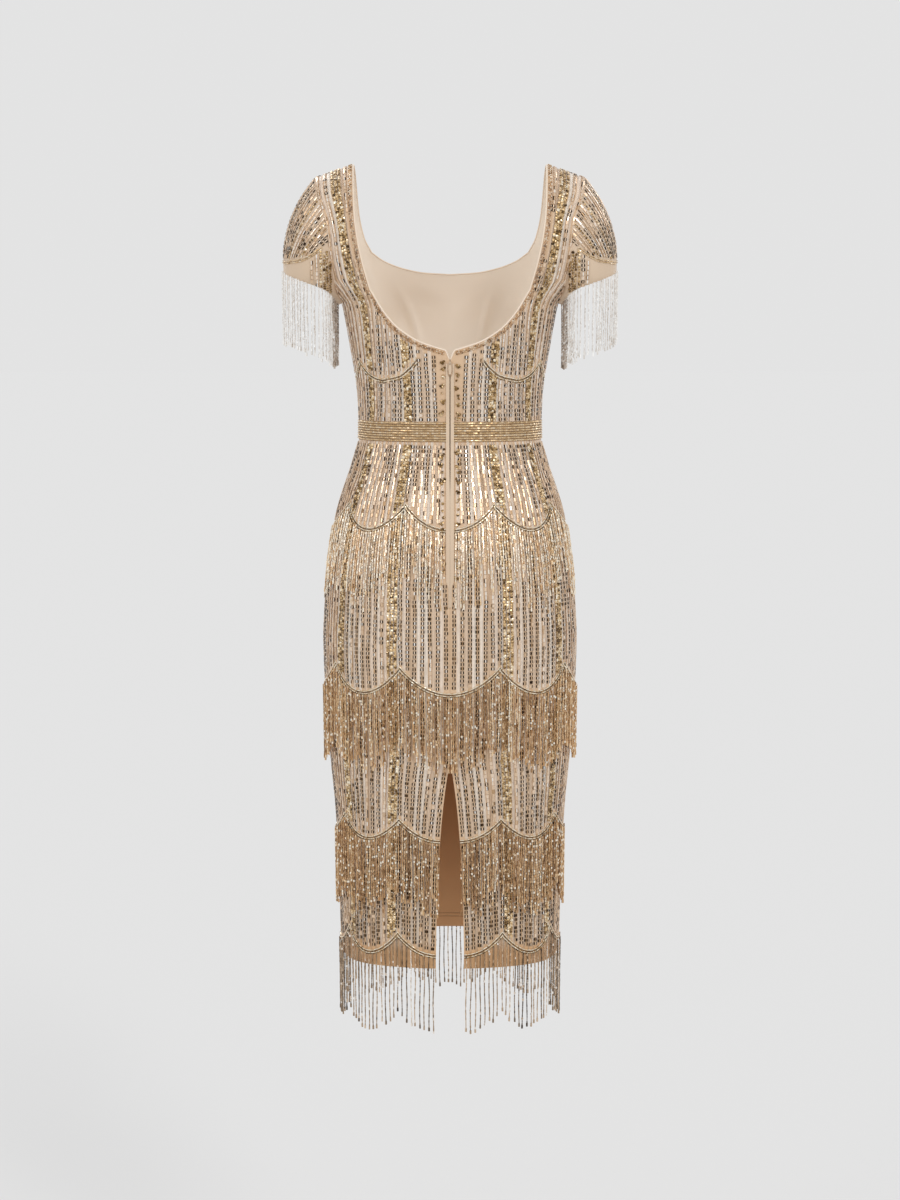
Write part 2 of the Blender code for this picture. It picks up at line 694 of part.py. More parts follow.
def sleeve_grid(armholes):
    """Rows of the left sleeve from its armhole seam to its hem, its wall's directions and its columns' shares."""
    back, front = armholes[1], armholes[-1]
    seam = np.concatenate([back[0], front[0][::-1][1:]])
    normals = np.concatenate([back[1], front[1][::-1][1:]])
    top = len(back[0]) - 1
    seam[top, 1] = 0
    away = np.cross(np.gradient(seam, axis=0), normals)
    away[[0, -1], 1] = 0
    away /= np.linalg.norm(away, axis=1, keepdims=True)
    away *= np.sign(away[top, 0])
    seam = seam + SLEEVE_SEAM * away
    run = np.append(0, np.cumsum(np.linalg.norm(np.diff(seam, axis=0), axis=1)))
    before = np.arange(len(seam)) > top
    share = np.where(before, (run - run[top]) / (run[-1] - run[top]), 1 - run / run[top])
    hem = through(SLEEVE_HEM, share)
    hem[:, 1] *= np.where(before, -SLEEVE_FRONT, 1)
    hem[0, 1], hem[-1, 1] = seam[0, 1], seam[-1, 1]
    chord = hem - seam
    beside = (seam + hem) / 2 - np.array([0.165, 0.0, 0.0])
    beside[:, 2] = 0.055 * (1 - share) ** 2
    crown = beside - chord * (np.sum(beside * chord, axis=1) / np.sum(chord * chord, axis=1))[:, None]
    crown /= np.linalg.norm(crown, axis=1, keepdims=True)
    lift = SLEEVE_CROWN * (1 - share) ** 0.6
    rows = []
    for v in np.linspace(0, 1, SLEEVE_ROWS + 1):
        rows.append(seam + chord * v + crown * (lift * 4 * v * (1 - v))[:, None])
    grid = np.stack(rows)
    ways = np.cross(np.gradient(grid, axis=0), np.gradient(grid, axis=1))
    ways[:, [0, -1], 1] = 0
    ways /= np.linalg.norm(ways, axis=-1, keepdims=True)
    ways *= np.sign(ways[2, top, 0])
    toward = np.maximum(np.sum(ways[0] * away, axis=1), 0)[:, None]
    level = ways[0] - toward * away
    level /= np.linalg.norm(level, axis=1, keepdims=True)
    ways[0] = level / np.clip(np.sum(level * ways[0], axis=1, keepdims=True), 0.7, 1)
    return grid, ways, share, top


def make_sleeves(armholes):
    """Sleeves, the scalloped bead line round each behind and before the arm, and the hem's fringe."""
    grid, ways, share, top = sleeve_grid(armholes)
    half = (grid.reshape(-1, 3), ways.reshape(-1, 3), grid_quads(*grid.shape[:2]))
    add_object("sleeve_left", wall(*half, CLOTH), BEADED)
    add_object("sleeve_right", wall(*mirrored(*half), CLOTH), BEADED)

    on = surface(*half[::2])
    at = np.linspace(-1, 1, 241) * SLEEVE_LINE[-1][0]
    level = through(SLEEVE_LINE, np.abs(at))[:, 0] * SLEEVE_ROWS
    columns = np.interp(at, np.where(np.arange(len(share)) > top, share, -share), np.arange(len(share)))
    points = np.array([on_grid(grid, v, c) for c, v in zip(columns, level)])
    outs = np.array([on_grid(ways, v, c) for c, v in zip(columns, level)])
    outs /= np.linalg.norm(outs, axis=1, keepdims=True)
    along_line = np.append(0, np.cumsum(np.linalg.norm(np.diff(points, axis=0), axis=1)))
    pick = np.interp(np.linspace(0, along_line[-1], 31), along_line, np.arange(len(points))).round().astype(int)
    run = np.gradient(points, axis=0)
    rings = band(on, points[pick], outs[pick], run[pick], -TRIM_TALL / 2, TRIM_TALL / 2, BEAD_LINE)
    add_piece("sleeve_trim_left", rings)
    add_piece("sleeve_trim_right", rings * FLIP)

    run = np.append(0, np.cumsum(np.linalg.norm(np.diff(grid[-1], axis=0), axis=1)))
    places = [(i + part) / SLEEVE_LOCKS for i in range(SLEEVE_LOCKS) for part in (0.27, 0.73)]
    places = np.interp([0.0, *places, 1.0], run / run[-1], np.arange(len(run)))
    is_lock = [False, True] * SLEEVE_LOCKS + [False]
    rings, falls = [], []
    for column in places:
        long = np.linalg.norm(on_grid(grid, SLEEVE_ROWS, column) - on_grid(grid, 0, column))
        rings.append(sleeve_ring(grid, ways, on, column, 1 - (TRIM_TALL + 0.0006) / long, TRIM_TALL, TRIM_THICK))
        low = rings[-1][2]
        falls.append([(0, 0, FRINGE_END[0] - FRINGE_END[1] * (SLEEVE_HEM[0].x - low[0]) - low[2])])
    rings, falls = np.array(rings), np.array(falls)
    add_piece("fringe_sleeve_left", rings, is_lock, falls)
    add_piece("fringe_sleeve_right", rings * FLIP, is_lock, falls * FLIP)


def sleeve_ring(grid, ways, on, column, share, tall, thick):
    """A trim's section on the sleeve, at a column and a share of the way from seam to hem."""
    long = np.linalg.norm(on_grid(grid, SLEEVE_ROWS, column) - on_grid(grid, 0, column))
    row, low = share * SLEEVE_ROWS, (share + tall / long) * SLEEVE_ROWS
    ring = []
    for place, out in ((row, TRIM_GAP), (row, TRIM_GAP + thick), (low, TRIM_GAP + thick), (low, TRIM_GAP)):
        n = on_grid(ways, place, column)
        ring.append(laid(on, on_grid(grid, place, column), n / np.linalg.norm(n), out))
    return ring


def on_grid(grid, row, column):
    """A point between the points of a grid, by straight steps."""
    r, c = min(int(row), grid.shape[0] - 2), min(int(column), grid.shape[1] - 2)
    s, t = row - r, column - c
    low = grid[r, c] * (1 - t) + grid[r, c + 1] * t
    high = grid[r + 1, c] * (1 - t) + grid[r + 1, c + 1] * t
    return low * (1 - s) + high * s


def prism(outline, low, high, holes=()):
    """A plate in the XZ plane between two depths, from a ring outline and an inner ring with as many points."""
    made = bmesh.new()
    rings = []
    for loop in (outline, *holes):
        rings.append([[made.verts.new((x, y, z)) for x, z in loop] for y in (low, high)])
    count = len(outline)
    for near, far in rings:
        for i in range(count):
            j = (i + 1) % count
            made.faces.new([near[i], near[j], far[j], far[i]])
    for level in (0, 1):
        for i in range(count):
            j = (i + 1) % count
            made.faces.new([rings[0][level][i], rings[0][level][j], rings[1][level][j], rings[1][level][i]])
    return made


def make_zip():
    """Zip tape and closed coil behind the centre back, the slider at its top, and the pull tab outside."""
    rows = [WAIST_TOP + SEAM + (BACK.low_neck[0][1] - WAIST_TOP - SEAM) * i / BODICE_ROWS for i in range(BODICE_ROWS)]
    top = PIVOT_HEIGHT - 0.0065
    heights = [top] + sorted([h for h in rows if h < top - 0.004], reverse=True)
    heights += [h for h in SKIRT_HEIGHTS if h > ZIP_LOW - 0.02] + [ZIP_LOW - 0.02]
    face = torso(BACK, np.zeros(len(heights)), np.array(heights))[:, 1] - CLOTH - TAPE_INSET
    rings = []
    for y, z in zip(face, heights):
        deep = y - TAPE_THICK
        rings.append([
            (-TAPE_HALF, y, z), (TAPE_HALF, y, z), (TAPE_HALF, deep, z), (COIL_HALF, deep, z),
            (COIL_HALF, deep - COIL_THICK, z), (-COIL_HALF, deep - COIL_THICK, z), (-COIL_HALF, deep, z), (-TAPE_HALF, deep, z),
        ])  # fmt: skip
    made = bmesh.new()
    loops = [[made.verts.new(p) for p in ring] for ring in rings]
    for a, b in zip(loops, loops[1:]):
        for i in range(8):
            made.faces.new([a[i], a[(i + 1) % 8], b[(i + 1) % 8], b[i]])
    made.faces.new(loops[0])
    made.faces.new(loops[-1])
    add_object("zip", made, NUDE)

    cloth = float(torso(BACK, np.zeros(1), np.array([PIVOT_HEIGHT]))[0, 1])
    pivot_y = cloth + PIVOT_OUT
    reach = BAR_HALF + BRIDGE_PLAY  # from the pivot to the inside of the bridge
    inside = cloth - CLOTH - 0.0012
    low = PIVOT_HEIGHT - reach - BRIDGE_BAR
    high = PIVOT_HEIGHT + reach + BRIDGE_BAR
    outer = pivot_y + reach + BRIDGE_BAR
    profile = [
        (inside - SLIDER_DEEP, low - 0.0012), (inside, low - 0.0012), (inside, low), (outer, low), (outer, high),
        (inside, high), (inside, high + 0.0020), (inside - SLIDER_DEEP, high + 0.0020),
    ]  # fmt: skip
    gap_out = pivot_y + reach
    gap = [(pivot_y - reach, low + BRIDGE_BAR), (gap_out, low + BRIDGE_BAR), (gap_out, high - BRIDGE_BAR), (pivot_y - reach, high - BRIDGE_BAR)]
    bridge = bmesh.new()
    half = BRIDGE_HALF
    body_half = SLIDER_HALF
    make_slider(bridge, profile, gap, half, body_half, inside)
    add_object("zip_slider", bridge, NUDE, 0.1, 0.4)

    hole = half + BRIDGE_PLAY
    rail = hole + TAB_RAIL
    crown = PIVOT_HEIGHT + BAR_HALF
    foot = PIVOT_HEIGHT - TAB_HOLE
    end = crown - TAB_LONG
    wide = TAB_WIDE / 2
    outline = [(-rail, crown), (rail, crown), (wide, foot - 0.006), (wide * 0.55, end), (-wide * 0.55, end), (-wide, foot - 0.006)]
    inner = [
        (-hole, crown - 2 * BAR_HALF), (hole, crown - 2 * BAR_HALF), (hole, (crown + foot) / 2),
        (hole, foot), (-hole, foot), (-hole, (crown + foot) / 2),
    ]  # fmt: skip
    tab = prism(outline, pivot_y - BAR_HALF, pivot_y + BAR_HALF, (inner,))
    add_object("zip_pull_tab", tab, NUDE, 0.1, 0.4)


def make_slider(made, profile, gap, half, body_half, inside):
    """The slider's body behind the cloth, and the bridge that stands out through the notch."""
    deep, foot = profile[0]
    top = profile[-1][1]
    outer = profile[3][0]
    low, high = profile[3][1], profile[4][1]
    # corners of the body's front face, with the bridge's root let into it
    xs = (-body_half, -half, half, body_half)
    zs = (foot, low, gap[0][1], gap[2][1], high, top)
    front = {(i, j): made.verts.new((x, inside, z)) for i, x in enumerate(xs) for j, z in enumerate(zs)}
    back = {(i, j): made.verts.new((x, deep, z)) for i, x in enumerate(xs) for j, z in enumerate(zs)}
    for i in range(3):
        for j in range(5):
            made.faces.new([back[i, j], back[i, j + 1], back[i + 1, j + 1], back[i + 1, j]])
            if not (i == 1 and j in (1, 3)):
                made.faces.new([front[i, j], front[i + 1, j], front[i + 1, j + 1], front[i, j + 1]])
    for i in range(3):
        made.faces.new([front[i, 0], back[i, 0], back[i + 1, 0], front[i + 1, 0]])
        made.faces.new([front[i, 5], front[i + 1, 5], back[i + 1, 5], back[i, 5]])
    for j in range(5):
        made.faces.new([front[0, j], front[0, j + 1], back[0, j + 1], back[0, j]])
        made.faces.new([front[3, j], back[3, j], back[3, j + 1], front[3, j + 1]])
    # bridge: posts at both ends, joined by an outer bar
    reach = gap[1][0]
    ends = {}
    for i, x in ((1, -half), (2, half)):
        ends[i, "low_out"] = made.verts.new((x, outer, low))
        ends[i, "high_out"] = made.verts.new((x, outer, high))
        ends[i, "low_in"] = made.verts.new((x, reach, gap[0][1]))
        ends[i, "high_in"] = made.verts.new((x, reach, gap[2][1]))
    for i in (1, 2):
        made.faces.new([front[i, 1], ends[i, "low_out"], ends[i, "low_in"], front[i, 2]])
        made.faces.new([ends[i, "low_out"], ends[i, "high_out"], ends[i, "high_in"], ends[i, "low_in"]])
        made.faces.new([front[i, 3], ends[i, "high_in"], ends[i, "high_out"], front[i, 4]])
    for a, b in (("low_out", "high_out"), ("low_in", "high_in")):
        made.faces.new([ends[1, a], ends[2, a], ends[2, b], ends[1, b]])
    made.faces.new([front[1, 1], front[2, 1], ends[2, "low_out"], ends[1, "low_out"]])
    made.faces.new([front[1, 4], front[2, 4], ends[2, "high_out"], ends[1, "high_out"]])
    made.faces.new([front[1, 2], front[2, 2], ends[2, "low_in"], ends[1, "low_in"]])
    made.faces.new([front[1, 3], front[2, 3], ends[2, "high_in"], ends[1, "high_in"]])


def main():
    for thing in list(bpy.data.objects):
        bpy.data.objects.remove(thing)
    armholes, surfaces = make_panels()
    make_sleeves(armholes)
    make_neck_bands(surfaces)
    make_bodice_trims(surfaces)
    make_tiers(surfaces)
    make_zip()


main()
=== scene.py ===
"""The looks of a beaded fringe dress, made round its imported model.

Metres, +Z up. The dress's front faces -Y and its wearer's left is +X; the camera sees its back.

Every piece lies on one form, the torso, whose level sections come from the SECTIONS table. A half
panel is worked out from its centre line (share 0) to its side seam (share 1) on one side.
"""

from collections import namedtuple
import math

import bpy
import numpy as np
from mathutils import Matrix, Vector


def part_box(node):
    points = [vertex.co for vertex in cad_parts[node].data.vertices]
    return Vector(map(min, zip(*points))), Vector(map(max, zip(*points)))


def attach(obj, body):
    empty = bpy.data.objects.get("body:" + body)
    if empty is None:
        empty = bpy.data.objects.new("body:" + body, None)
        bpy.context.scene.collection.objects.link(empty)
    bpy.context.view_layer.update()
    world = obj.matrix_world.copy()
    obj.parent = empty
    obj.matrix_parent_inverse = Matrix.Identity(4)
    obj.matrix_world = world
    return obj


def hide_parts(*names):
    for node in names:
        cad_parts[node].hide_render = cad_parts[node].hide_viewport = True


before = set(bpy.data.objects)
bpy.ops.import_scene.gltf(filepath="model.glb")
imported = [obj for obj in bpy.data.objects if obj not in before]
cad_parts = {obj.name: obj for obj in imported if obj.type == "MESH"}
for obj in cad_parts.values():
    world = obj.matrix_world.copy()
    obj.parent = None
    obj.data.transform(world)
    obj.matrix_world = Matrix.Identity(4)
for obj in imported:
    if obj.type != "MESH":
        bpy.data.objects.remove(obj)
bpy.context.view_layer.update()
rng = np.random.default_rng(7)

# Form, as in the model's source
CLOTH, SEAM, SQUARENESS = 0.0018, 0.0003, 0.02
SECTIONS = [
    # height, half width, depth behind, depth before
    (-1.0640, 0.1470, 0.108, 0.102),
    (-1.0000, 0.1485, 0.109, 0.103),
    (-0.9160, 0.1515, 0.112, 0.105),
    (-0.8540, 0.1550, 0.116, 0.108),
    (-0.8000, 0.1600, 0.121, 0.111),
    (-0.7300, 0.1652, 0.127, 0.114),
    (-0.6685, 0.1685, 0.131, 0.115),
    (-0.6275, 0.1693, 0.133, 0.115),
    (-0.5870, 0.1675, 0.134, 0.114),
    (-0.5460, 0.1645, 0.132, 0.112),
    (-0.5050, 0.1592, 0.126, 0.110),
    (-0.4650, 0.1525, 0.115, 0.107),
    (-0.4450, 0.1473, 0.109, 0.105),
    (-0.4240, 0.1405, 0.102, 0.102),
    (-0.4040, 0.1335, 0.096, 0.099),
    (-0.3840, 0.1275, 0.091, 0.096),
    (-0.3610, 0.1218, 0.0870, 0.094),
    (-0.3360, 0.1215, 0.0868, 0.094),
    (-0.3030, 0.1228, 0.091, 0.098),
    (-0.2700, 0.1270, 0.097, 0.104),
    (-0.2380, 0.1325, 0.102, 0.109),
    (-0.1950, 0.1402, 0.106, 0.112),
    (-0.1830, 0.1430, 0.106, 0.112),
    (-0.1700, 0.1530, 0.106, 0.110),
    (-0.1500, 0.1710, 0.105, 0.105),
    (-0.1250, 0.1910, 0.103, 0.097),
    (-0.1000, 0.2060, 0.100, 0.088),
    (0.0100, 0.2300, 0.100, 0.084),
]
CUP_X, CUP_HEIGHT, CUP_DEPTH = 0.078, -0.222, 0.017
CUP_WIDE, CUP_TALL, CUP_EDGE = 0.050, 0.052, 2.5
WAVE_TOP, HEM, WAVE_DEPTH, WAVE_RATE, WAVE_START = -0.76, -1.0615, 0.0022, 6.4, 1.1
FRONT_RISE = 0.0070
ROLL_HEIGHT, NECK_X, SHOULDER_SLOPE, SHOULDER_GAP = -0.105, 0.1278, 0.345, 0.0015
UNDERARM, WAIST_TOP, WAIST_LOW = -0.1830, -0.3365, -0.3625
WAIST_MIDDLE = (WAIST_TOP + WAIST_LOW) / 2
NOTCH_HALF, NOTCH_TOP, NOTCH_LOW, NOTCH_CURVE = 0.0062, -0.2428, -0.2570, 1.6
ZIP_HALF, ZIP_LOW = 0.0010, -0.5750
SLIT_TOP, SLIT_HALF, SLIT_RATE = -0.7800, 0.0205, 0.110
PLACKET_NARROW = -0.5450  # where the folded edges beside the zip draw in

# Edges of a bodice half: low_neck gives x and height, high_neck and armhole give height and x, and
# join is where the strap meets the underarm
Edge = namedtuple("Edge", "low_neck high_neck join armhole")
EDGES = {
    1: Edge(
        low_neck=[
            (NOTCH_HALF, NOTCH_TOP),
            (0.0175, -0.2396),
            (0.0395, -0.2320),
            (0.0654, -0.2162),
            (0.0848, -0.1956),
            (0.1041, -0.1647),
        ],
        high_neck=[(-0.1647, 0.1041), (-0.1288, 0.1143), (-0.1006, 0.1203), (-0.0680, 0.1245), (0.0, NECK_X)],
        join=(0.1515, -0.1500),
        armhole=[
            (-0.1500, 0.1515),
            (-0.1140, 0.1567),
            (-0.0790, 0.1600),
            (-0.0600, 0.1665),
            (-0.0400, 0.1742),
            (-0.0170, 0.1768),
        ],
    ),
    -1: Edge(
        low_neck=[(0.0, -0.1436), (0.0350, -0.1415), (0.0623, -0.1362), (0.0894, -0.1262), (0.1069, -0.1140)],
        high_neck=[(-0.1140, 0.1069), (-0.0939, 0.1170), (-0.0600, 0.1238), (0.0, NECK_X)],
        join=(0.1470, -0.1450),
        armhole=[
            (-0.1450, 0.1470),
            (-0.1100, 0.1485),
            (-0.0790, 0.1540),
            (-0.0600, 0.1625),
            (-0.0400, 0.1728),
            (-0.0170, 0.1768),
        ],
    ),
}
# A half panel: sign 1 behind and -1 before, side 1 on the wearer's left
Half = namedtuple("Half", "sign side")
SIDES = {"left": 1, "right": -1}
PANELS = {"front": (Half(-1, 1), Half(-1, -1)), "back_left": (Half(1, 1),), "back_right": (Half(1, -1),)}

# Soft troughs and ridges of the worn cloth: place is a signed share, lengths are in metres
Crease = namedtuple("Crease", "sign place height half_long half_wide depth lean")
CREASES = [
    Crease(1, 0.46, -0.389, 0.026, 0.0065, -0.0011, 1.15),
    Crease(1, -0.52, -0.394, 0.030, 0.0070, -0.0012, -1.05),
    Crease(1, 0.66, -0.415, 0.034, 0.0080, -0.0013, 0.90),
    Crease(1, -0.70, -0.408, 0.026, 0.0070, -0.0010, -0.95),
    Crease(1, 0.56, -0.322, 0.022, 0.0060, -0.0009, -1.20),
    Crease(1, -0.58, -0.316, 0.024, 0.0060, -0.0010, 1.10),
    Crease(1, 0.30, -0.700, 0.060, 0.0110, -0.0010, 0.10),
    Crease(1, -0.38, -0.740, 0.050, 0.0100, -0.0010, -0.08),
    Crease(-1, 0.415, -0.138, 0.024, 0.0042, -0.0042, -0.20),
    Crease(-1, -0.425, -0.132, 0.020, 0.0040, -0.0038, 0.28),
    Crease(-1, 0.225, -0.208, 0.030, 0.0050, -0.0052, 0.28),
    Crease(-1, -0.205, -0.212, 0.028, 0.0050, -0.0048, -0.14),
    Crease(-1, 0.30, -0.196, 0.026, 0.0150, 0.0030, 0.30),
    Crease(-1, -0.28, -0.200, 0.025, 0.0140, 0.0028, -0.20),
    Crease(-1, 0.10, -0.168, 0.026, 0.0110, -0.0014, 1.00),
    Crease(-1, -0.07, -0.190, 0.028, 0.0120, -0.0012, -0.60),
    Crease(-1, 0.50, -0.395, 0.030, 0.0080, -0.0012, 1.05),
    Crease(-1, -0.44, -0.402, 0.034, 0.0080, -0.0011, -1.00),
    Crease(-1, 0.12, -0.420, 0.040, 0.0110, -0.0010, 0.70),
    Crease(-1, -0.74, -0.385, 0.024, 0.0070, -0.0010, -1.10),
]
SHARE_ARC = 0.23  # about how wide a half panel is, for the creases

# Beadwork: shares of the scallops' cusps, then the tiers of fringe. A tier's strands start at a
# share, a pitch apart; tone, spread and sparks are their brightness, and shortest their least fall
CUSPS = (0.235, 0.680)
Tier = namedtuple("Tier", "name cusp drop pitch start tone spread sparks shortest")
FRINGE_LONG = 0.107
TIERS = [
    Tier("hip", -0.4420, 0.0325, 0.0034, 0.018, 0.94, 0.10, 0.04, 0.50),
    Tier("thigh", -0.6535, 0.0350, 0.0028, 0.0, 0.60, 0.17, 0.11, 0.80),
    Tier("knee", -0.8580, 0.0280, 0.0028, 0.0, 0.52, 0.17, 0.12, 0.76),
    Tier("hem", -1.0130, 0.0290, 0.0058, 0.0, 0.42, 0.20, 0.05, 0.93),
]
TRIM_TALL = 0.0036
BODICE_CUSPS, BODICE_CUSP, BODICE_DROP = (0.19, 0.72), -0.2560, 0.0245
LINE_START = [(0.195, -0.2520), (0.25, -0.2645), (0.33, -0.2755), (0.455, BODICE_CUSP - BODICE_DROP)]
NECK_INSET, NECK_BAND = 0.0012, 0.0068
# Rows of sequins across a half panel, from share to share; white is how bright they are, with the painted
# highlight down long sequins' middles, and dashes how many have sides painted dark as dark reflections
Band = namedtuple("Band", "start end rows gold white dashes")
BANDS = {
    "bodice": [
        Band(0.090, 0.234, 4, False, 1.00, 1.15),
        Band(0.2585, 0.2965, 3, True, 0.50, 0.0),
        Band(0.338, 0.570, 6, False, 0.92, 0.55),
        Band(0.603, 0.641, 3, True, 0.46, 0.0),
        Band(0.684, 0.985, 7, False, 0.90, 0.25),
    ],
    "skirt": [
        Band(0.018, 0.018, 1, False, 0.84, 0.9),
        Band(0.056, 0.234, 6, False, 0.98, 1.05),
        Band(0.2585, 0.2965, 3, True, 0.50, 0.0),
        Band(0.332, 0.568, 7, False, 0.90, 0.65),
        Band(0.603, 0.641, 3, True, 0.46, 0.0),
        Band(0.678, 0.983, 9, False, 0.88, 0.40),
    ],
}
# Rows between the neckline and the gold band, on the straps alone, above a height
STRAP_BAND, STRAP_SHARES, STRAP_ROWS_LOW = Band(0, 0, 0, False, 0.74, 2.2), (0.2190, 0.2440), -0.1500
# Rows that fill the centre of the front, where there is no zip
FRONT_SHARES = (0.022, 0.056)
# Share of the rows whose sides are painted dark as dark reflections, by height
DASHED = [
    *((-1.02, 0.85), (-0.93, 0.75), (-0.85, 0.70), (-0.76, 0.60), (-0.66, 0.95), (-0.58, 0.95)),
    *((-0.53, 0.45), (-0.46, 0.05), (-0.37, 0.48), (-0.335, 0.80), (-0.26, 0.85), (-0.21, 0.45)),
    *((-0.10, 0.30), (0.0, 0.25)),
]
# Brightness of the painted highlight down the sequins' middles, by height
MIDDLE_HIGHLIGHT = [
    *((-1.02, 0.62), (-0.93, 0.64), (-0.76, 0.76), (-0.60, 0.79), (-0.52, 0.74), (-0.45, 0.56)),
    *((-0.425, 0.74), (-0.37, 0.78), (-0.30, 0.90), (-0.18, 0.90), (0.0, 0.86)),
]

# Sleeves: share of the way round from outside the arm to the underarm, x, y, height
SLEEVE_HEM = [
    (0.00, 0.2215, 0.000, -0.1406),
    (0.22, 0.2170, 0.024, -0.1445),
    (0.45, 0.2040, 0.044, -0.1500),
    (0.64, 0.1880, 0.056, -0.1560),
    (0.76, 0.1730, 0.056, -0.1615),
    (0.86, 0.1590, 0.042, -0.1690),
    (0.93, 0.1520, 0.022, -0.1790),
    (1.00, 0.1500, 0.000, -0.1850),
]
# The sleeve's bead line: place on its way round, and how far down it lies
SLEEVE_LINE = [
    (0.0, 0.908),
    (0.20, 0.875),
    (0.325, 0.795),
    (0.42, 0.680),
    (0.487, 0.463),
    (0.506, 0.288),
    (0.516, 0.15),
]
SLEEVE_FRONT, SLEEVE_CROWN, SLEEVE_SEAM, CROWN_CURVE = 0.90, 0.0135, 0.0007, 0.6
ARM_X, ARM_RISE = 0.165, 0.055  # middle of the arm, and how far the crown leans up outside it
SLEEVE_FRINGE_END = (-0.2390, 0.46)  # height where the fringe ends outside, and its slope inwards

# Zip
TAPE_HALF, TAPE_INSET = 0.0110, 0.0009

# How finely the cloth is made
NECK_COLUMNS, FOOT_COLUMNS, UNDERARM_COLUMNS = 36, 11, 11
BODICE_ROWS, STRAP_ROWS, SLEEVE_ROWS = 24, 26, 18
SKIRT_COLUMNS, SKIRT_ROWS, WAISTBAND_ROWS = 34, 88, 6
SHELL = 0.0012  # thickness of the sewn layers
TURNED_UP = 0.0006  # how much thicker the hem is
WAISTBAND_OUT = 0.0003
# Points along a neckline, the bodice's trim, a row of sequins, a tier's line and a fan's row
EDGE_POINTS, NECK_POINTS, TRIM_POINTS, ROW_POINTS, LINE_POINTS, FAN_POINTS = 300, 150, 400, 160, 500, 60

TURN = np.linspace(0, math.pi / 2, 400)


def circle(sides, start=0.0):
    """Cosines and sines at equal turns round a circle, a row for each."""
    turn = (np.arange(sides) + start) / sides * math.tau
    return np.stack([np.cos(turn), np.sin(turn)], axis=1)


def through(table, at):
    """Values on the smooth curve through a table, by cubics whose slopes never overshoot it."""
    rows = np.array(table, float)
    rows = rows[np.argsort(rows[:, 0])]
    place, value = rows[:, 0], rows[:, 1:]
    step = np.diff(place)[:, None]
    rise = np.diff(value, axis=0) / step
    slope = np.zeros_like(value)
    same = rise[:-1] * rise[1:] > 0
    total = np.where(same, rise[:-1] + rise[1:], 1.0)
    slope[1:-1] = np.where(same, 2 * rise[:-1] * rise[1:] / total, 0.0)
    slope[0], slope[-1] = rise[0], rise[-1]
    at = np.asarray(at, float)
    flat = at.ravel()
    i = np.clip(np.searchsorted(place, flat, "right") - 1, 0, len(place) - 2)
    s = ((flat - place[i]) / step[i, 0])[:, None]
    h = step[i]
    found = (
        value[i] * (1 + 2 * s) * (1 - s) ** 2
        + value[i + 1] * s * s * (3 - 2 * s)
        + h * slope[i] * s * (1 - s) ** 2
        - h * slope[i + 1] * s * s * (1 - s)
    )
    return found.reshape(at.shape + (-1,))


def unit(v):
    """Directions of length one."""
    return v / np.maximum(np.linalg.norm(v, axis=-1, keepdims=True), 1e-12)


def across(angle):
    """Sideways share of a level section: a sine, squared off by its third harmonic."""
    return (np.sin(angle) + SQUARENESS * np.sin(3 * angle)) / (1 - SQUARENESS)


def along(angle):
    """Front-to-back share of a level section: a cosine, squared off by its third harmonic."""
    return (np.cos(angle) - SQUARENESS * np.cos(3 * angle)) / (1 - SQUARENESS)


ACROSS = across(TURN)


def angle_at(x, height):
    """Angle of the section at this height whose point lies x from the centre line."""
    return np.interp(np.asarray(x) / through(SECTIONS, height)[..., 0], ACROSS, TURN)


def smooth_step(t):
    """0 below 0, 1 above 1, and a cubic that starts and ends level between them."""
    t = np.clip(t, 0, 1)
    return t * t * (3 - 2 * t)


def creased(half, angle, height):
    """How far creases move the cloth out: each is a bell along its length and across its width."""
    total = np.zeros_like(height)
    for c in CREASES:
        if c.sign != half.sign:
            continue
        beside = (half.side * angle / (math.pi / 2) - c.place) * SHARE_ARC
        above = height - c.height
        long = above * math.cos(c.lean) + beside * math.sin(c.lean)
        wide = beside * math.cos(c.lean) - above * math.sin(c.lean)
        total = total + c.depth * np.exp(-((long / c.half_long) ** 2) - (wide / c.half_wide) ** 2)
    return total


def torso(half, angle, height):
    """Points of the form: rounded ellipses by height, with bust cups, skirt waves and creases."""
    angle, height = np.broadcast_arrays(np.asarray(angle, float), np.asarray(height, float))
    half_width, back, front = np.moveaxis(through(SECTIONS, height), -1, 0)
    x = half_width * across(angle)
    y = (back - front) / 2 + half.sign * (back + front) / 2 * along(angle)
    if half.sign < 0:
        cup = np.exp(-(((np.abs(x) - CUP_X) / CUP_WIDE) ** 2) - ((height - CUP_HEIGHT) / CUP_TALL) ** 2)
        y = y - CUP_DEPTH * cup * smooth_step(along(angle) * CUP_EDGE)
    grown = smooth_step((WAVE_TOP - height) / (WAVE_TOP - HEM))
    from_back = angle if half.sign > 0 else math.pi - angle
    moved = WAVE_DEPTH * grown * np.cos(WAVE_RATE * from_back + WAVE_START) * np.sin(from_back) ** 2
    moved = moved + creased(half, angle, height)
    x = x + moved * np.sin(angle)
    y = y + moved * half.sign * np.cos(angle)
    return np.stack([half.side * x, y, height], axis=-1)


def roll_tall(x):
    """How far the shoulder rises over the strap's turn: less by a straight slope, further out."""
    return -(np.asarray(x) - NECK_X) * SHOULDER_SLOPE - ROLL_HEIGHT


def strap(half, x, turn):
    """Points of a strap: the form below turn 0, then a quarter turn over the shoulder to 1."""
    x, turn = np.broadcast_arrays(np.asarray(x, float), np.asarray(turn, float))
    quarter = np.clip(turn, 0, 1) * math.pi / 2
    height = ROLL_HEIGHT + roll_tall(x) * np.where(turn < 0, turn * math.pi / 2, np.sin(quarter))
    points = torso(half, angle_at(x, height), height)
    points[..., 0] = half.side * x
    points[..., 1] *= np.cos(quarter)
    return points


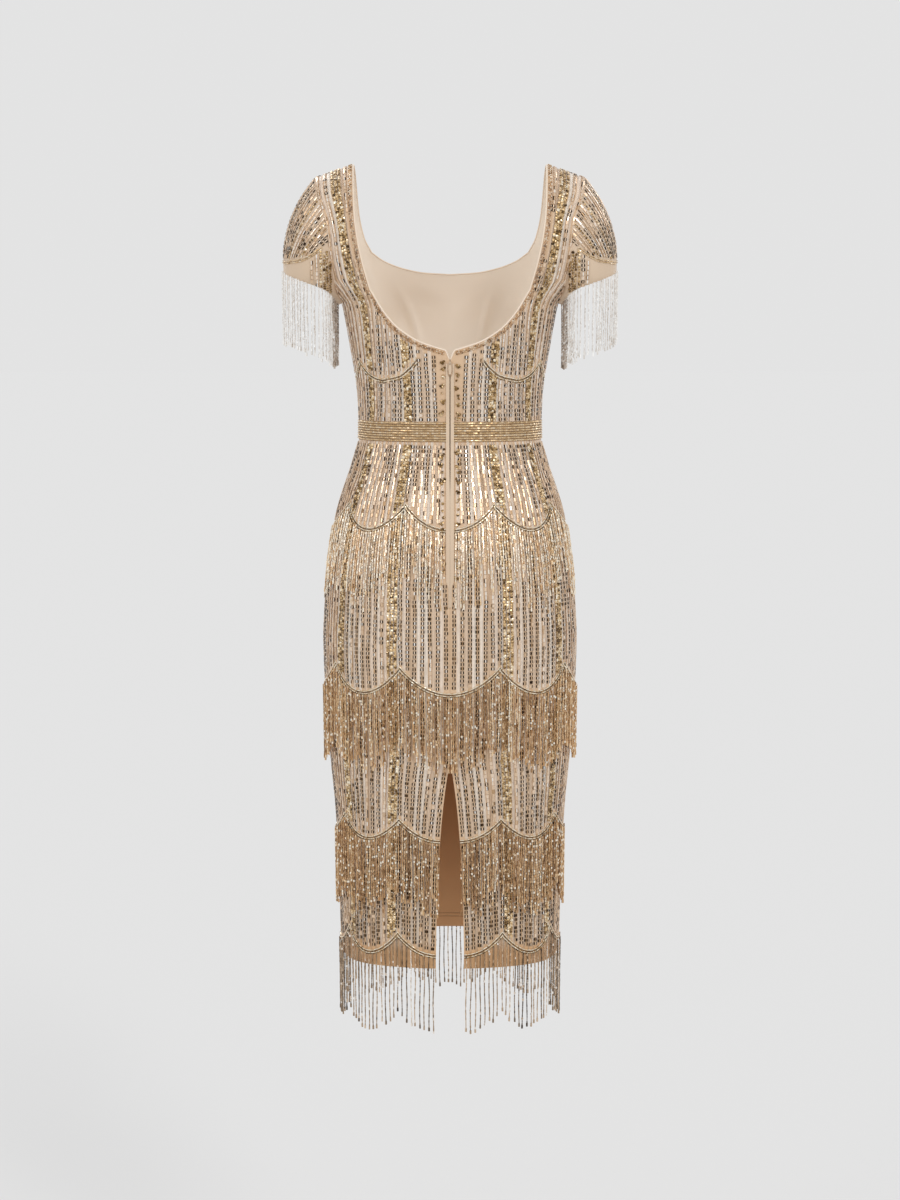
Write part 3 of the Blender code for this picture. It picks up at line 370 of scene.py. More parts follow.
def turn_at(x, height):
    """A strap's turn at a height: its arc sine above the roll, and straight below."""
    share = (height - ROLL_HEIGHT) / roll_tall(x)
    return np.where(share < 0, share * 2 / math.pi, np.arcsin(np.clip(share, 0, 1)) * 2 / math.pi)


def outward(form, half, u, v):
    """Unit normals of a form, by central differences."""
    e = 1e-4
    du = form(half, u + e, v) - form(half, u - e, v)
    dv = form(half, u, v + e) - form(half, u, v - e)
    return unit(np.cross(dv, du) * half.sign * half.side)


def laid(form, half, u, v):
    """Points of a form, and its unit normals there."""
    return form(half, u, v), outward(form, half, u, v)


def centre_x(half, height):
    """Distance of a panel's centre edge from the centre line: notch, zip, seam, then slit."""
    height = np.asarray(height, float)
    if half.sign < 0:
        return np.zeros_like(height)
    notch = np.clip((height - NOTCH_LOW) / (NOTCH_TOP - NOTCH_LOW), 0, 1)
    zipped = ZIP_HALF + (NOTCH_HALF - ZIP_HALF) * notch**NOTCH_CURVE
    down = np.clip((SLIT_TOP - height) / SLIT_RATE, 0, None)
    return np.where(height > ZIP_LOW, zipped, SEAM / 2 + SLIT_HALF * (1 - np.exp(-down)))


def side_angle(height):
    """Angle of the side seam, half a seam short of a quarter turn."""
    back, front = np.moveaxis(through(SECTIONS, height)[..., 1:], -1, 0)
    return math.pi / 2 - SEAM / (back + front)


def panel(half, share, height):
    """Points and normals of a half panel, from its centre edge (0) to its side seam (1)."""
    share, height = np.broadcast_arrays(np.asarray(share, float), np.asarray(height, float))
    start = angle_at(centre_x(half, height), height)
    angle = start + share * (side_angle(height) - start)
    return laid(torso, half, angle, height)


def scallop(share, cusps, cusp, drop):
    """Height of a scalloped line: a parabola that hangs between each two cusps."""
    ends = np.array([-cusps[0], cusps[0], cusps[1], 2 - cusps[1]])
    i = np.clip(np.searchsorted(ends, share, "right") - 1, 0, len(ends) - 2)
    t = (share - (ends[i] + ends[i + 1]) / 2) / ((ends[i + 1] - ends[i]) / 2)
    return cusp - drop * (1 - t * t)


def tier_height(half, tier, share):
    """Height of a tier's scalloped line; the hem's rises by a parabola at the centre front."""
    rise = FRONT_RISE * (1 - share**2) if half.sign < 0 and tier.name == "hem" else 0.0
    return scallop(share, CUSPS, tier.cusp, tier.drop) + rise


def lengths(points):
    """Distance run along the first axis of a grid of points, from its first row."""
    steps = np.linalg.norm(np.diff(points, axis=0), axis=-1)
    return np.concatenate([np.zeros((1,) + steps.shape[1:]), np.cumsum(steps, axis=0)])


def level_run(x, y):
    """Distance run along a flat line, from its first point."""
    return np.append(0, np.cumsum(np.hypot(np.diff(x), np.diff(y))))


def row_shares(part):
    """Shares of a part's rows of sequins, each with its band."""
    return [(share, band) for band in BANDS[part] for share in np.linspace(band.start, band.end, band.rows)]


def row_place(part, share):
    """A half panel's row number at a share: whole numbers are rows of sequins."""
    rows = [row for row, _ in row_shares(part)]
    return np.interp(share, [0, *rows, 1], [-1, *range(len(rows)), len(rows) - 0.5])


# Shader maths


class Value:
    """One output socket, with arithmetic that adds Math nodes."""

    def __init__(self, finish, socket):
        self.finish, self.socket = finish, socket

    def math(self, operation, *others):
        return self.finish.node("Math", {"operation": operation}, dict(enumerate((self, *others))))

    def __add__(self, other):
        return self.math("ADD", other)

    __radd__ = __add__

    def __mul__(self, other):
        return self.math("MULTIPLY", other)

    __rmul__ = __mul__

    def __sub__(self, other):
        return self.math("SUBTRACT", other)

    def __rsub__(self, other):
        return self * -1.0 + other

    def __abs__(self):
        return self.math("ABSOLUTE")

    def step(self, low, high):
        """0 below low, 1 above high, and smooth between them."""
        ends = {0: self, 1: low, 2: high, 3: 0.0, 4: 1.0}
        return self.finish.node("MapRange", {"interpolation_type": "SMOOTHSTEP"}, ends)


class Finish:
    """A material and its Principled shader. Sockets are set by name, with numbers or Values."""

    def __init__(self, name, **sockets):
        self.material = bpy.data.materials.new(name)
        self.material.use_nodes = True
        self.tree = self.material.node_tree
        self.shader = self.tree.nodes["Principled BSDF"]
        for key, value in sockets.items():
            self.set(key.replace("_", " "), value)

    def join(self, socket, value):
        if isinstance(value, Value):
            self.tree.links.new(value.socket, socket)
        elif isinstance(value, tuple) and socket.type == "RGBA":
            socket.default_value = (*value, 1)
        else:
            socket.default_value = value

    def set(self, key, value):
        self.join(self.shader.inputs[key], value)

    def node(self, kind, settings=None, sockets=None, output=0):
        made = self.tree.nodes.new("ShaderNode" + kind)
        for key, value in (settings or {}).items():
            if key == "stops":
                ramp = made.color_ramp.elements
                for place, _ in value[2:]:
                    ramp.new(place)
                for element, (place, colour) in zip(ramp, value):
                    element.position = place
                    element.color = (*colour, 1)
            else:
                setattr(made, key, value)
        for key, value in (sockets or {}).items():
            self.join(made.inputs[key], value)
        return Value(self, made.outputs[output])

    def place(self):
        return self.node("TexCoord", output="Object")

    def part(self, vector, axis):
        return self.node("SeparateXYZ", {}, {0: vector}, axis)

    def noise(self, scale, detail=2.0):
        return self.node("TexNoise", {}, {"Vector": self.place(), "Scale": scale, "Detail": detail})

    def tone(self):
        return self.node("Attribute", {"attribute_name": "tone"}, output="Fac")

    def ramp(self, fac, stops):
        return self.node("ValToRGB", {"stops": stops}, {0: fac}, "Color")

    def mix(self, fac, a, b):
        return self.node("Mix", {"data_type": "RGBA", "blend_type": "MIX"}, {0: fac, 6: a, 7: b}, 2)

    def bump(self, height, distance):
        self.set("Normal", self.node("Bump", {}, {"Height": height, "Distance": distance, "Strength": 1.0}))


def weave(finish, where, threads):
    """Height of a plain weave: waves along each thread, crossed over under."""
    a, b = ((finish.part(where, axis) * (threads * math.tau)).math("SINE") for axis in "XY")
    return a * b


NET_THREADS, SATIN_THREADS, STITCH = 900.0, 1100.0, (0.0002, 0.0009)
# The dashes that edge the stripes are partly thread and partly painted shadow beside the sequins
KNOT_PITCH = 0.0031  # of the thread that edges the satin stripes
# Soft edges, in rows of sequins: of a satin stripe, of its thread and painted shadow, and of a row's swell
STRIPE_EDGE, THREAD_AND_SHADOW_EDGE, SWELL_EDGE = (0.20, 0.26), (0.02, 0.06), (0.0, 0.19)
# Heights between which the hem's cloth is bare, and the skirt grows darker
HEM_BARE, SKIRT_SHADED = (HEM + 0.018, HEM + 0.040), (-0.98, -0.76)
GROUND_TINTS = [(0.3, (0.640, 0.435, 0.270)), (0.7, (0.750, 0.530, 0.345))]
SATIN_SHADE, THREAD_AND_SHADOW_COLOUR = (0.62, 0.44, 0.30), (0.26, 0.16, 0.085)
SKIRT_SHADE, HEM_COLOUR = (0.470, 0.300, 0.165), (0.600, 0.355, 0.175)
ENAMEL_TINTS = [(0.3, (0.62, 0.47, 0.33)), (0.7, (0.70, 0.54, 0.39))]
SATIN_TINTS = [
    (0.0, (0.76, 0.54, 0.36)),
    (0.3, (0.90, 0.71, 0.55)),
    (0.65, (0.95, 0.79, 0.65)),
    (1.0, (0.99, 0.87, 0.74)),
]


def net_finish():
    """Nude net over lining: pale satin stripes between rows of sequins, edged by thread and painted shadow.
    """
    f = Finish("beaded_net", Sheen_Weight=0.25, Sheen_Roughness=0.4)
    uv = f.node("UVMap", {"uv_map": "rows"})
    row, run = f.part(uv, "X"), f.part(uv, "Y")
    between = abs(row.math("FRACT") - 0.5)  # 0 midway between two rows of sequins
    margin = row.step(0.1, 0.4)
    stripe = (1 - between.step(*STRIPE_EDGE)) * margin
    edge = (1 - abs(between - 0.25).step(*THREAD_AND_SHADOW_EDGE)) * margin
    knots = (run * (math.tau / KNOT_PITCH)).math("SINE").step(0.2, 0.9)
    cloud = f.noise(9.0, 3.0)
    mottle = f.noise(60.0, 3.0)
    tint = f.node("TexWhiteNoise", {"noise_dimensions": "1D"}, {"W": row.math("FLOOR")}, 0)
    ground = f.ramp(cloud, GROUND_TINTS)
    satin = f.ramp(tint, SATIN_TINTS)
    satin = f.mix(mottle.step(0.50, 0.70) * 0.25, satin, SATIN_SHADE)
    # A dark dashed line at each stripe's edge: partly edging thread, partly painted shadow beside the sequins
    colour = f.mix(edge * (0.15 + knots * 0.30), ground, THREAD_AND_SHADOW_COLOUR)
    colour = f.mix(stripe, colour, satin)
    height = f.part(f.place(), "Z")
    colour = f.mix((1 - height.step(*SKIRT_SHADED)) * 0.34, colour, SKIRT_SHADE)
    f.set("Base Color", f.mix(1 - height.step(*HEM_BARE), colour, HEM_COLOUR))
    f.set("Metallic", stripe * 0.12)
    f.set("Roughness", 0.62 - stripe * 0.25)
    swell = (1 - between.step(*SWELL_EDGE)) * margin
    fine = weave(f, f.place(), NET_THREADS)
    f.bump(swell + fine * 0.06, 0.0012)
    return f.material


def satin_finish(name, light, dark, stitches=()):
    """Plain lining or facing cloth: a fine weave, soft clouding, and stitched lines at some heights."""
    f = Finish(name, Roughness=0.55, Sheen_Weight=0.2, Sheen_Roughness=0.35)
    place = f.place()
    height = f.part(place, "Z")
    cloud = f.noise(6.0, 3.0)
    colour = f.ramp(cloud, [(0.30, dark), (0.72, light)])
    relief = weave(f, place, SATIN_THREADS) * 0.05 + f.noise(160.0, 2.0) * 0.10
    for level in stitches:
        line = 1 - abs(height - level).step(*STITCH)
        colour = f.mix(line * 0.35, colour, tuple(0.45 * c for c in dark))
        relief = relief - line
    f.set("Base Color", colour)
    f.bump(relief, 0.0005)
    return f.material


def bead_finish(name, stops, metallic, roughness):
    """Beads whose colour, gloss and metal come from the tone that each of them holds, with fine dust."""
    f = Finish(name)
    tone = f.tone()
    speck = f.noise(700.0, 1.0)
    f.set("Base Color", f.mix(speck.step(0.52, 0.75) * 0.22, f.ramp(tone, stops), stops[0][1]))
    f.set("Metallic", metallic[0] + (metallic[1] - metallic[0]) * tone)
    f.set("Roughness", (roughness[0] + (roughness[1] - roughness[0]) * tone) + speck * 0.10)
    return f.material


def enamel_finish():
    """Smooth nude enamel with a thin coat, a little cloudy."""
    f = Finish("nude_enamel", Coat_Weight=0.3, Coat_Roughness=0.1)
    cloud = f.noise(180.0, 2.0)
    f.set("Base Color", f.ramp(cloud, ENAMEL_TINTS))
    f.set("Roughness", 0.30 + cloud * 0.15)
    f.bump(f.noise(900.0, 2.0), 0.0001)
    return f.material


SEQUIN_TONES = [
    (0.0, (0.016, 0.009, 0.005)),
    (0.14, (0.085, 0.047, 0.023)),
    (0.36, (0.520, 0.325, 0.170)),
    (0.58, (0.810, 0.600, 0.420)),
    (0.80, (0.940, 0.770, 0.610)),
    (1.0, (1.000, 0.965, 0.915)),
]
GOLD_TONES = [
    (0.0, (0.060, 0.032, 0.012)),
    (0.25, (0.270, 0.155, 0.055)),
    (0.5, (0.600, 0.405, 0.200)),
    (0.75, (0.860, 0.650, 0.400)),
    (1.0, (0.980, 0.890, 0.720)),
]
FRINGE_TONES = [
    (0.0, (0.105, 0.048, 0.018)),
    (0.3, (0.345, 0.185, 0.080)),
    (0.6, (0.680, 0.430, 0.220)),
    (0.85, (0.910, 0.690, 0.440)),
    (1.0, (1.000, 0.920, 0.780)),
]
SMOKY_TONES = [
    (0.0, (0.065, 0.042, 0.026)),
    (0.4, (0.350, 0.245, 0.155)),
    (0.7, (0.670, 0.510, 0.360)),
    (1.0, (0.980, 0.920, 0.840)),
]
CLEAR_TONES = [
    (0.0, (0.160, 0.120, 0.090)),
    (0.4, (0.560, 0.480, 0.410)),
    (0.7, (0.800, 0.770, 0.730)),
    (1.0, (0.980, 0.970, 0.950)),
]

NET = net_finish()
LINING = satin_finish("lining", (0.985, 0.890, 0.775), (0.950, 0.835, 0.710))
HEM_STITCHES = (HEM + 0.022, HEM + 0.0265)
# The skirt's lining is the nude lining painted tan-brown: painted shade inside the skirt
SHADED_LINING = satin_finish("skirt_lining", (0.720, 0.410, 0.190), (0.630, 0.345, 0.155), HEM_STITCHES)
# Waistband cloth: its own gold-brown, darkened as painted shade in the gaps between the rows of beads
BELT_CLOTH_AND_SHADE = satin_finish("belt_cloth", (0.460, 0.310, 0.180), (0.380, 0.250, 0.135))
PLAIN = satin_finish("plain_nude", (0.720, 0.560, 0.410), (0.650, 0.490, 0.345))
SEQUINS = bead_finish("sequins", SEQUIN_TONES, (0.86, 0.92), (0.36, 0.16))
GOLD_BEADS = bead_finish("gold_beads", GOLD_TONES, (0.75, 0.9), (0.34, 0.22))
FRINGE_BEADS = bead_finish("fringe_beads", FRINGE_TONES, (0.65, 0.80), (0.36, 0.32))
SMOKY_BEADS = bead_finish("smoky_beads", SMOKY_TONES, (0.45, 0.70), (0.26, 0.16))
CLEAR_BEADS = bead_finish("clear_beads", CLEAR_TONES, (0.35, 0.15), (0.24, 0.14))
BINDING_CLOTH = satin_finish("binding", (0.900, 0.760, 0.620), (0.850, 0.700, 0.550))
ENAMEL = enamel_finish()


# Meshes


def write_mesh(name, points, corners, starts, materials, which=None, uv=None, tones=None, smooth=False):
    """A mesh from its points and the corner list that its faces share, each from its start."""
    mesh = bpy.data.meshes.new(name)
    mesh.vertices.add(len(points))
    mesh.vertices.foreach_set("co", np.ascontiguousarray(points, np.float32).ravel())
    mesh.loops.add(len(corners))
    mesh.loops.foreach_set("vertex_index", np.ascontiguousarray(corners, np.int32))
    mesh.polygons.add(len(starts))
    mesh.polygons.foreach_set("loop_start", np.ascontiguousarray(starts, np.int32))
    for material in materials:
        mesh.materials.append(material)
    if which is not None:
        mesh.polygons.foreach_set("material_index", np.ascontiguousarray(which, np.int32))
    mesh.polygons.foreach_set("use_smooth", np.full(len(starts), smooth))
    mesh.update(calc_edges=True)
    if uv is not None:
        layer = mesh.uv_layers.new(name="rows")
        layer.data.foreach_set("uv", np.ascontiguousarray(uv[corners], np.float32).ravel())
    if tones is not None:
        mesh.attributes.new("tone", "FLOAT", "FACE").data.foreach_set("value", tones.astype(np.float32))
    if smooth:
        mesh.set_sharp_from_angle(angle=math.radians(50))
    made = bpy.data.objects.new(name, mesh)
    bpy.context.scene.collection.objects.link(made)
    return made


def placed(piece, node, body="dress", replaces=True):
    """The piece rides on its body, and where it replaces the node, hides that node to stand for it."""
    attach(piece, body)
    if replaces:
        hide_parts(node)
    return piece


class Cloth:
    """Grids of points sewn into one sheet and given a thickness inwards."""

    def __init__(self):
        self.points, self.normals, self.uvs, self.quads = [], [], [], []
        self.count = 0

    def lay(self, points, normals, u, v):
        """Adds a grid's points and returns their numbers, as a grid."""
        shape = points.shape[:2]
        self.points.append(points.reshape(-1, 3))
        self.normals.append(normals.reshape(-1, 3))
        self.uvs.append(np.stack(np.broadcast_arrays(u, v), axis=-1).reshape(-1, 2))
        first = self.count
        self.count += shape[0] * shape[1]
        return np.arange(first, self.count).reshape(shape)

    def face(self, ids):
        """Faces between the numbers of a grid, turned to look along the normals."""
        quads = np.stack([ids[:-1, :-1], ids[:-1, 1:], ids[1:, 1:], ids[1:, :-1]], axis=-1).reshape(-1, 4)
        p, n = np.concatenate(self.points), np.concatenate(self.normals)
        looks = np.cross(p[quads[:, 2]] - p[quads[:, 0]], p[quads[:, 3]] - p[quads[:, 1]])
        if np.sum(looks * n[quads[:, 0]]) < 0:
            quads = quads[:, ::-1]
        self.quads.append(quads)

    def made(self, name, materials, thick=SHELL):
        """The sheet: its faces, the same ones set in by its thickness, and a rim round every open edge."""
        used, quads = np.unique(np.concatenate(self.quads), return_inverse=True)
        quads = quads.reshape(-1, 4)
        outer, n = np.concatenate(self.points)[used], np.concatenate(self.normals)[used]
        uv = np.concatenate(self.uvs)[used]
        thick = thick(outer)[:, None] if callable(thick) else thick
        count = len(used)
        a, b = quads.ravel(), np.roll(quads, -1, axis=1).ravel()
        rim = ~np.isin(a * count + b, b * count + a)
        rims = np.stack([b[rim], a[rim], a[rim] + count, b[rim] + count], axis=1)
        faces = np.concatenate([quads, quads[:, ::-1] + count, rims])
        which = np.repeat([0, 1, 1], [len(quads), len(quads), len(rims)])
        points = np.concatenate([outer, outer - thick * n])
        uv = np.concatenate([uv, uv])
        starts = np.arange(len(faces)) * 4
        return write_mesh(name, points, faces.ravel(), starts, materials, which, uv, smooth=True)


Shape = namedtuple("Shape", "points faces")


def barrel(sides, taper=0.82):
    """A bead: two rings round its thread, a little in from its width, and flat ends."""
    ring = circle(sides, 0.5) * taper
    points = np.concatenate([np.insert(ring, 0, -0.5, axis=1), np.insert(ring, 0, 0.5, axis=1)])
    i, j = np.arange(sides), (np.arange(sides) + 1) % sides
    faces = [(a, b, b + sides, a + sides) for a, b in zip(i, j)]
    return Shape(points, [*faces, tuple(reversed(i)), tuple(i + sides)])


def seed():
    """The smallest bead: eight faces between its six tips."""
    points = np.array([(-0.5, 0, 0), (0.5, 0, 0), (0, -1, 0), (0, 0, -1), (0, 1, 0), (0, 0, 1)], float)
    rim = ((2, 3), (3, 4), (4, 5), (5, 2))
    return Shape(points, [(0, b, a) for a, b in rim] + [(1, a, b) for a, b in rim])


def sequin(sides=6):
    """A disc with its middle raised, closed below by a flat face."""
    points = np.concatenate([np.insert(circle(sides), 2, 0.0, axis=1), [(0, 0, 1)]])
    faces = [(i, (i + 1) % sides, sides) for i in range(sides)] + [tuple(range(sides))[::-1]]
    return Shape(points, faces)


def plate():
    """A long sequin: a raised strip between two sloping sides, with flat ends and a flat back."""
    across_it = [(-1, 0), (-0.34, 1), (0.34, 1), (1, 0)]
    points = np.array([(x, y, z) for x in (-0.5, 0.5) for y, z in across_it], float)
    return Shape(points, [(0, 4, 5, 1), (1, 5, 6, 2), (2, 6, 7, 3), (0, 1, 2, 3), (7, 6, 5, 4), (3, 7, 4, 0)])


BARREL, ROUND, SEED, SEQUIN, PLATE = barrel(4), barrel(6), seed(), sequin(), plate()


class Beads:
    """Copies of one bead shape, joined into one mesh. Each has a place, directions, sizes and tones."""

    def __init__(self, shape):
        self.shape, self.parts = shape, []

    def add(self, centres, ways, outs, sizes, tones):
        """Ways run along the thread and outs away from the cloth; sizes are length, width and height.

        There is a tone for each bead, or one for each of its faces.
        """
        count, faces = len(centres), len(self.shape.faces)
        if not count:
            return
        t = unit(ways)
        n = unit(outs - np.sum(outs * t, axis=-1, keepdims=True) * t)
        sizes = np.broadcast_to(np.asarray(sizes, float), (count, 3))
        axes = np.stack([t, np.cross(n, t), n], axis=1)
        points = centres[:, None] + np.einsum("kc,nc,ncd->nkd", self.shape.points, sizes, axes)
        tones = np.asarray(tones, float)
        tones = np.broadcast_to(tones if tones.ndim == 2 else tones.reshape(-1, 1), (count, faces))
        self.parts.append((points.reshape(-1, 3), np.clip(tones, 0, 1).ravel()))

    def made(self, name, material):
        """All copies as one mesh; each has the shape's faces, with the numbers of its own points."""
        points = np.concatenate([p for p, _ in self.parts])
        tones = np.concatenate([t for _, t in self.parts])
        each = len(self.shape.points)
        corners = np.concatenate([np.array(f) for f in self.shape.faces])
        sizes = np.array([len(f) for f in self.shape.faces])
        copies = np.arange(len(points) // each)[:, None]
        starts = np.append(0, np.cumsum(sizes))[:-1] + copies * sizes.sum()
        corners = (corners + copies * each).ravel()
        return write_mesh(name, points, corners, starts.ravel(), [material], tones=tones)


def strung(line, outs, pitch):
    """Places, directions and normals at equal steps of about a pitch along a line."""
    run = lengths(line)
    count = max(int(run[-1] / pitch), 1)
    at = (np.arange(count) + 0.5) * run[-1] / count
    grids = (line, np.gradient(line, axis=0), outs)
    return [np.stack([np.interp(at, run, column) for column in grid.T], axis=-1) for grid in grids]


def near(points, line, gap):
    """Which points lie within a gap of a line's points."""
    found = np.zeros(len(points), bool)
    for low in range(0, len(line), 200):
        part = line[low : low + 200]
        found |= (np.linalg.norm(points[:, None] - part[None], axis=-1) < gap).any(axis=1)
    return found


# Panels


def low_neckline(half, count):
    """x and heights along the low part of a neckline, at equal steps of its length."""
    table = EDGES[half.sign].low_neck
    x = np.linspace(table[0][0], table[-1][0], EDGE_POINTS)
    height = through(table, x)[:, 0]
    run = level_run(x, height)
    x = np.interp(np.linspace(0, run[-1], count + 1), run, x)
    return x, through(table, x)[:, 0]


def strap_edge(half, table, turns):
    """x of a strap's edge at each turn, from its table of heights."""
    x = np.full(len(turns), table[0][1])
    for _ in range(12):
        height = strap(half, x, turns)[:, 2]
        x = through(table, np.clip(height, table[0][0], table[-1][0]))[:, 0]
    return x


Bodice = namedtuple("Bodice", "low low_out high high_out turn shares armhole armhole_out")


def bodice_form(half):
    """Half a bodice: a lower grid up to the neckline, strap and underarm, and the strap's own grid."""
    edge = EDGES[half.sign]
    inner_x, inner_height = edge.low_neck[-1]
    x, height = low_neckline(half, NECK_COLUMNS)
    share = np.linspace(0, 1, FOOT_COLUMNS + 1)[1:]
    x = np.append(x, inner_x + (edge.join[0] - inner_x) * share)
    height_top = np.append(height, inner_height + (edge.join[1] - inner_height) * share)
    angle_top = angle_at(x, height_top)
    share = np.linspace(0, 1, UNDERARM_COLUMNS + 1)[1:]
    angle_top = np.append(angle_top, angle_top[-1] + (side_angle(UNDERARM) - angle_top[-1]) * share)
    height_top = np.append(height_top, edge.join[1] + (UNDERARM - edge.join[1]) * np.sin(share * math.pi / 2))
    low = WAIST_TOP + SEAM
    rise = np.linspace(0, 1, BODICE_ROWS + 1)[:, None]
    even = np.linspace(0, 1, len(angle_top)) * side_angle(low)
    height = low + (height_top - low) * rise
    angle = (even + angle_top) / 2 * (1 - rise) + angle_top * rise
    angle[:, 0] = angle_at(centre_x(half, height[:, 0]), height[:, 0])
    angle[:, -1] = side_angle(height[:, -1])
    turns = [turn_at(inner_x, inner_height), turn_at(*edge.join)]
    rise = np.linspace(0, 1, STRAP_ROWS + 1)[1:]
    inner, outer = (start + (1 - SHOULDER_GAP - start) * rise for start in turns)
    x_in, x_out = strap_edge(half, edge.high_neck, inner), strap_edge(half, edge.armhole, outer)
    share = np.linspace(0, 1, FOOT_COLUMNS + 1)
    x = x_in[:, None] + (x_out - x_in)[:, None] * share
    turn = inner[:, None] + (outer - inner)[:, None] * share
    points, normals = laid(torso, half, angle, height)
    high, high_out = laid(strap, half, x, turn)
    foot = NECK_COLUMNS + FOOT_COLUMNS
    armhole = np.concatenate([points[-1, : foot - 1 : -1], high[:, -1]])
    armhole_out = np.concatenate([normals[-1, : foot - 1 : -1], high_out[:, -1]])
    return Bodice(points, normals, high, high_out, turn, angle[0] / angle[0, -1], armhole, armhole_out)


BODICES = {half: bodice_form(half) for halves in PANELS.values() for half in halves}


def sewn(halves, lay):
    """A cloth of one or two halves; a front's halves share the points of the centre line."""
    cloth = Cloth()
    first = None
    for half in halves:
        ids = lay(cloth, half)
        if first is not None:
            ids[0][:, 0] = first[:, 0]
        first = ids[0]
        for grid in ids:
            cloth.face(grid)
    return cloth


def lay_bodice(cloth, half):
    """The lower grid, and the strap's grid on top of the part of its last row between neck and armhole."""
    b = BODICES[half]
    u = row_place("bodice", b.shares)[None, :] + 0 * b.low[..., 0]
    run = lengths(b.low)
    low = cloth.lay(b.low, b.low_out, u, run)
    foot = slice(NECK_COLUMNS, NECK_COLUMNS + FOOT_COLUMNS + 1)
    tall = np.concatenate([b.low[-1:, foot], b.high])
    high_run = (run[-1, foot] + lengths(tall))[1:]
    high = cloth.lay(b.high, b.high_out, u[:1, foot] + 0 * b.high[..., 0], high_run)
    return (low, np.concatenate([low[-1:, foot], high]))


def skirt_heights(half, share):
    """Rows of a skirt panel from the waist to its hem, which rises at the centre front."""
    down = np.linspace(0, 1, SKIRT_ROWS + 1)[:, None]
    low = HEM + (FRONT_RISE * (1 - share**2) if half.sign < 0 else 0.0 * share)
    top = WAIST_LOW - SEAM
    return top + (low - top) * down


def lay_skirt(cloth, half):
    """Even shares by even steps down from the waist."""
    share = np.linspace(0, 1, SKIRT_COLUMNS + 1)
    heights = skirt_heights(half, share)
    points, normals = panel(half, share, heights)
    return (cloth.lay(points, normals, row_place("skirt", share) + 0 * heights, WAIST_LOW - heights),)


def lay_waistband(cloth, half):
    """Even shares by even steps of height, a little out from the form."""
    share = np.linspace(0, 1, SKIRT_COLUMNS + 1)
    heights = np.linspace(WAIST_LOW, WAIST_TOP, WAISTBAND_ROWS + 1)[:, None]
    points, normals = panel(half, share, heights)
    level = 0 * points[..., 0]
    return (cloth.lay(points + WAISTBAND_OUT * normals, normals, share + level, heights + level),)


def hem_thick(points):
    """The lining is turned up and doubled over the lowest part of the skirt."""
    return SHELL + TURNED_UP * (points[:, 2] < HEM_STITCHES[0] + FRONT_RISE * (points[:, 1] < 0))


for part, lay, materials, thick in (
    ("bodice", lay_bodice, (NET, LINING), SHELL),
    ("waistband", lay_waistband, (BELT_CLOTH_AND_SHADE, LINING), SHELL),
    ("skirt", lay_skirt, (NET, SHADED_LINING), hem_thick),
):
    for where, halves in PANELS.items():
        node = f"{part}_{where}"
        placed(sewn(halves, lay).made("cloth_" + node, materials, thick), node)


# Rows of sequins

SEQUIN_OUT = 0.0009
DISC_WIDE, DISC_PITCH, DISC_TALL = 0.0024, 0.0037, 0.28
PLATE_LONG, PLATE_WIDE, PLATE_PITCH, PLATE_TALL = 0.0037, 0.0021, 0.0055, 0.0005
PLATE_GAP = 0.0004
# Chance of a dark and of a pale disc, with how far its tone is off; then the spread of discs' tones
# Dark discs are painted dark reflections, and pale ones painted highlights
DISC_DARK_REFLECTION, DISC_HIGHLIGHT, DISC_SPREAD = (0.20, 0.28), (0.16, 0.30), 0.13
# A row wanders over this many sequins: aside in metres, in its middle's painted highlight, and in its dark
# sides
WANDER_EVERY, WANDER_ASIDE, WANDER_TONE, WANDER_DARK = 7, 0.0004, 0.12, 0.16
# How far a row's own number runs; tones of pale sides and of sides painted dark as dark reflections; how much
# wider dark-sided sequins are
ROW_OWN, SIDE_PALE, SIDE_DARK, DARK_WIDE = 0.85, 0.56, 0.01, 1.12
# Chance that a side stands out from its row, and its change of tone: a painted glint in a dark row, duller in
# a pale one
GLINTS, GLINT, DULL = 0.08, 0.5, -0.45
# How far sequins keep from the neck band, the trim, the armhole, the zip, a tier's line and the slit
NECK_CLEAR, TRIM_CLEAR, ARMHOLE_CLEAR, ZIP_CLEAR = 0.0018, 0.0040, 0.0020, 0.0075
TIER_CLEAR, SLIT_CLEAR, HEM_CLEAR, WAIST_CLEAR = 0.0052, 0.0034, 0.0045, 0.0040


def sewn_on(line, outs, pitch, keep):
    """Places at equal steps along a line where keep says so, with their directions and normals."""
    found = strung(line, outs, pitch)
    kept = keep(found[0])
    return [part[kept] for part in found]


def tipped(normals, by):
    """Normals that each lean their own way."""
    return normals + rng.normal(0, by, normals.shape)


def sew_discs(beads, line, outs, keep, tone, wide=DISC_WIDE):
    """One row of round gold sequins, a few painted dark as reflections and a few nearly white as highlights.
    """
    places, ways, normals = sewn_on(line, outs, DISC_PITCH, keep)
    count = len(places)
    chance = rng.random(count)
    tones = tone + rng.normal(0, DISC_SPREAD, count) - (chance < DISC_DARK_REFLECTION[0]) * DISC_DARK_REFLECTION[1]
    tones = tones + (chance > 1 - DISC_HIGHLIGHT[0]) * DISC_HIGHLIGHT[1]
    faces = tones[:, None] + rng.normal(0, 0.20, (count, len(SEQUIN.faces)))
    wide = wide * rng.uniform(0.90, 1.05, count)
    sizes = np.stack([wide, wide, wide * DISC_TALL], axis=1)
    places = places + np.cross(normals, unit(ways)) * rng.normal(0, 0.0003, (count, 1))
    beads.add(places + normals * SEQUIN_OUT, ways, tipped(normals, 0.20), sizes, faces)


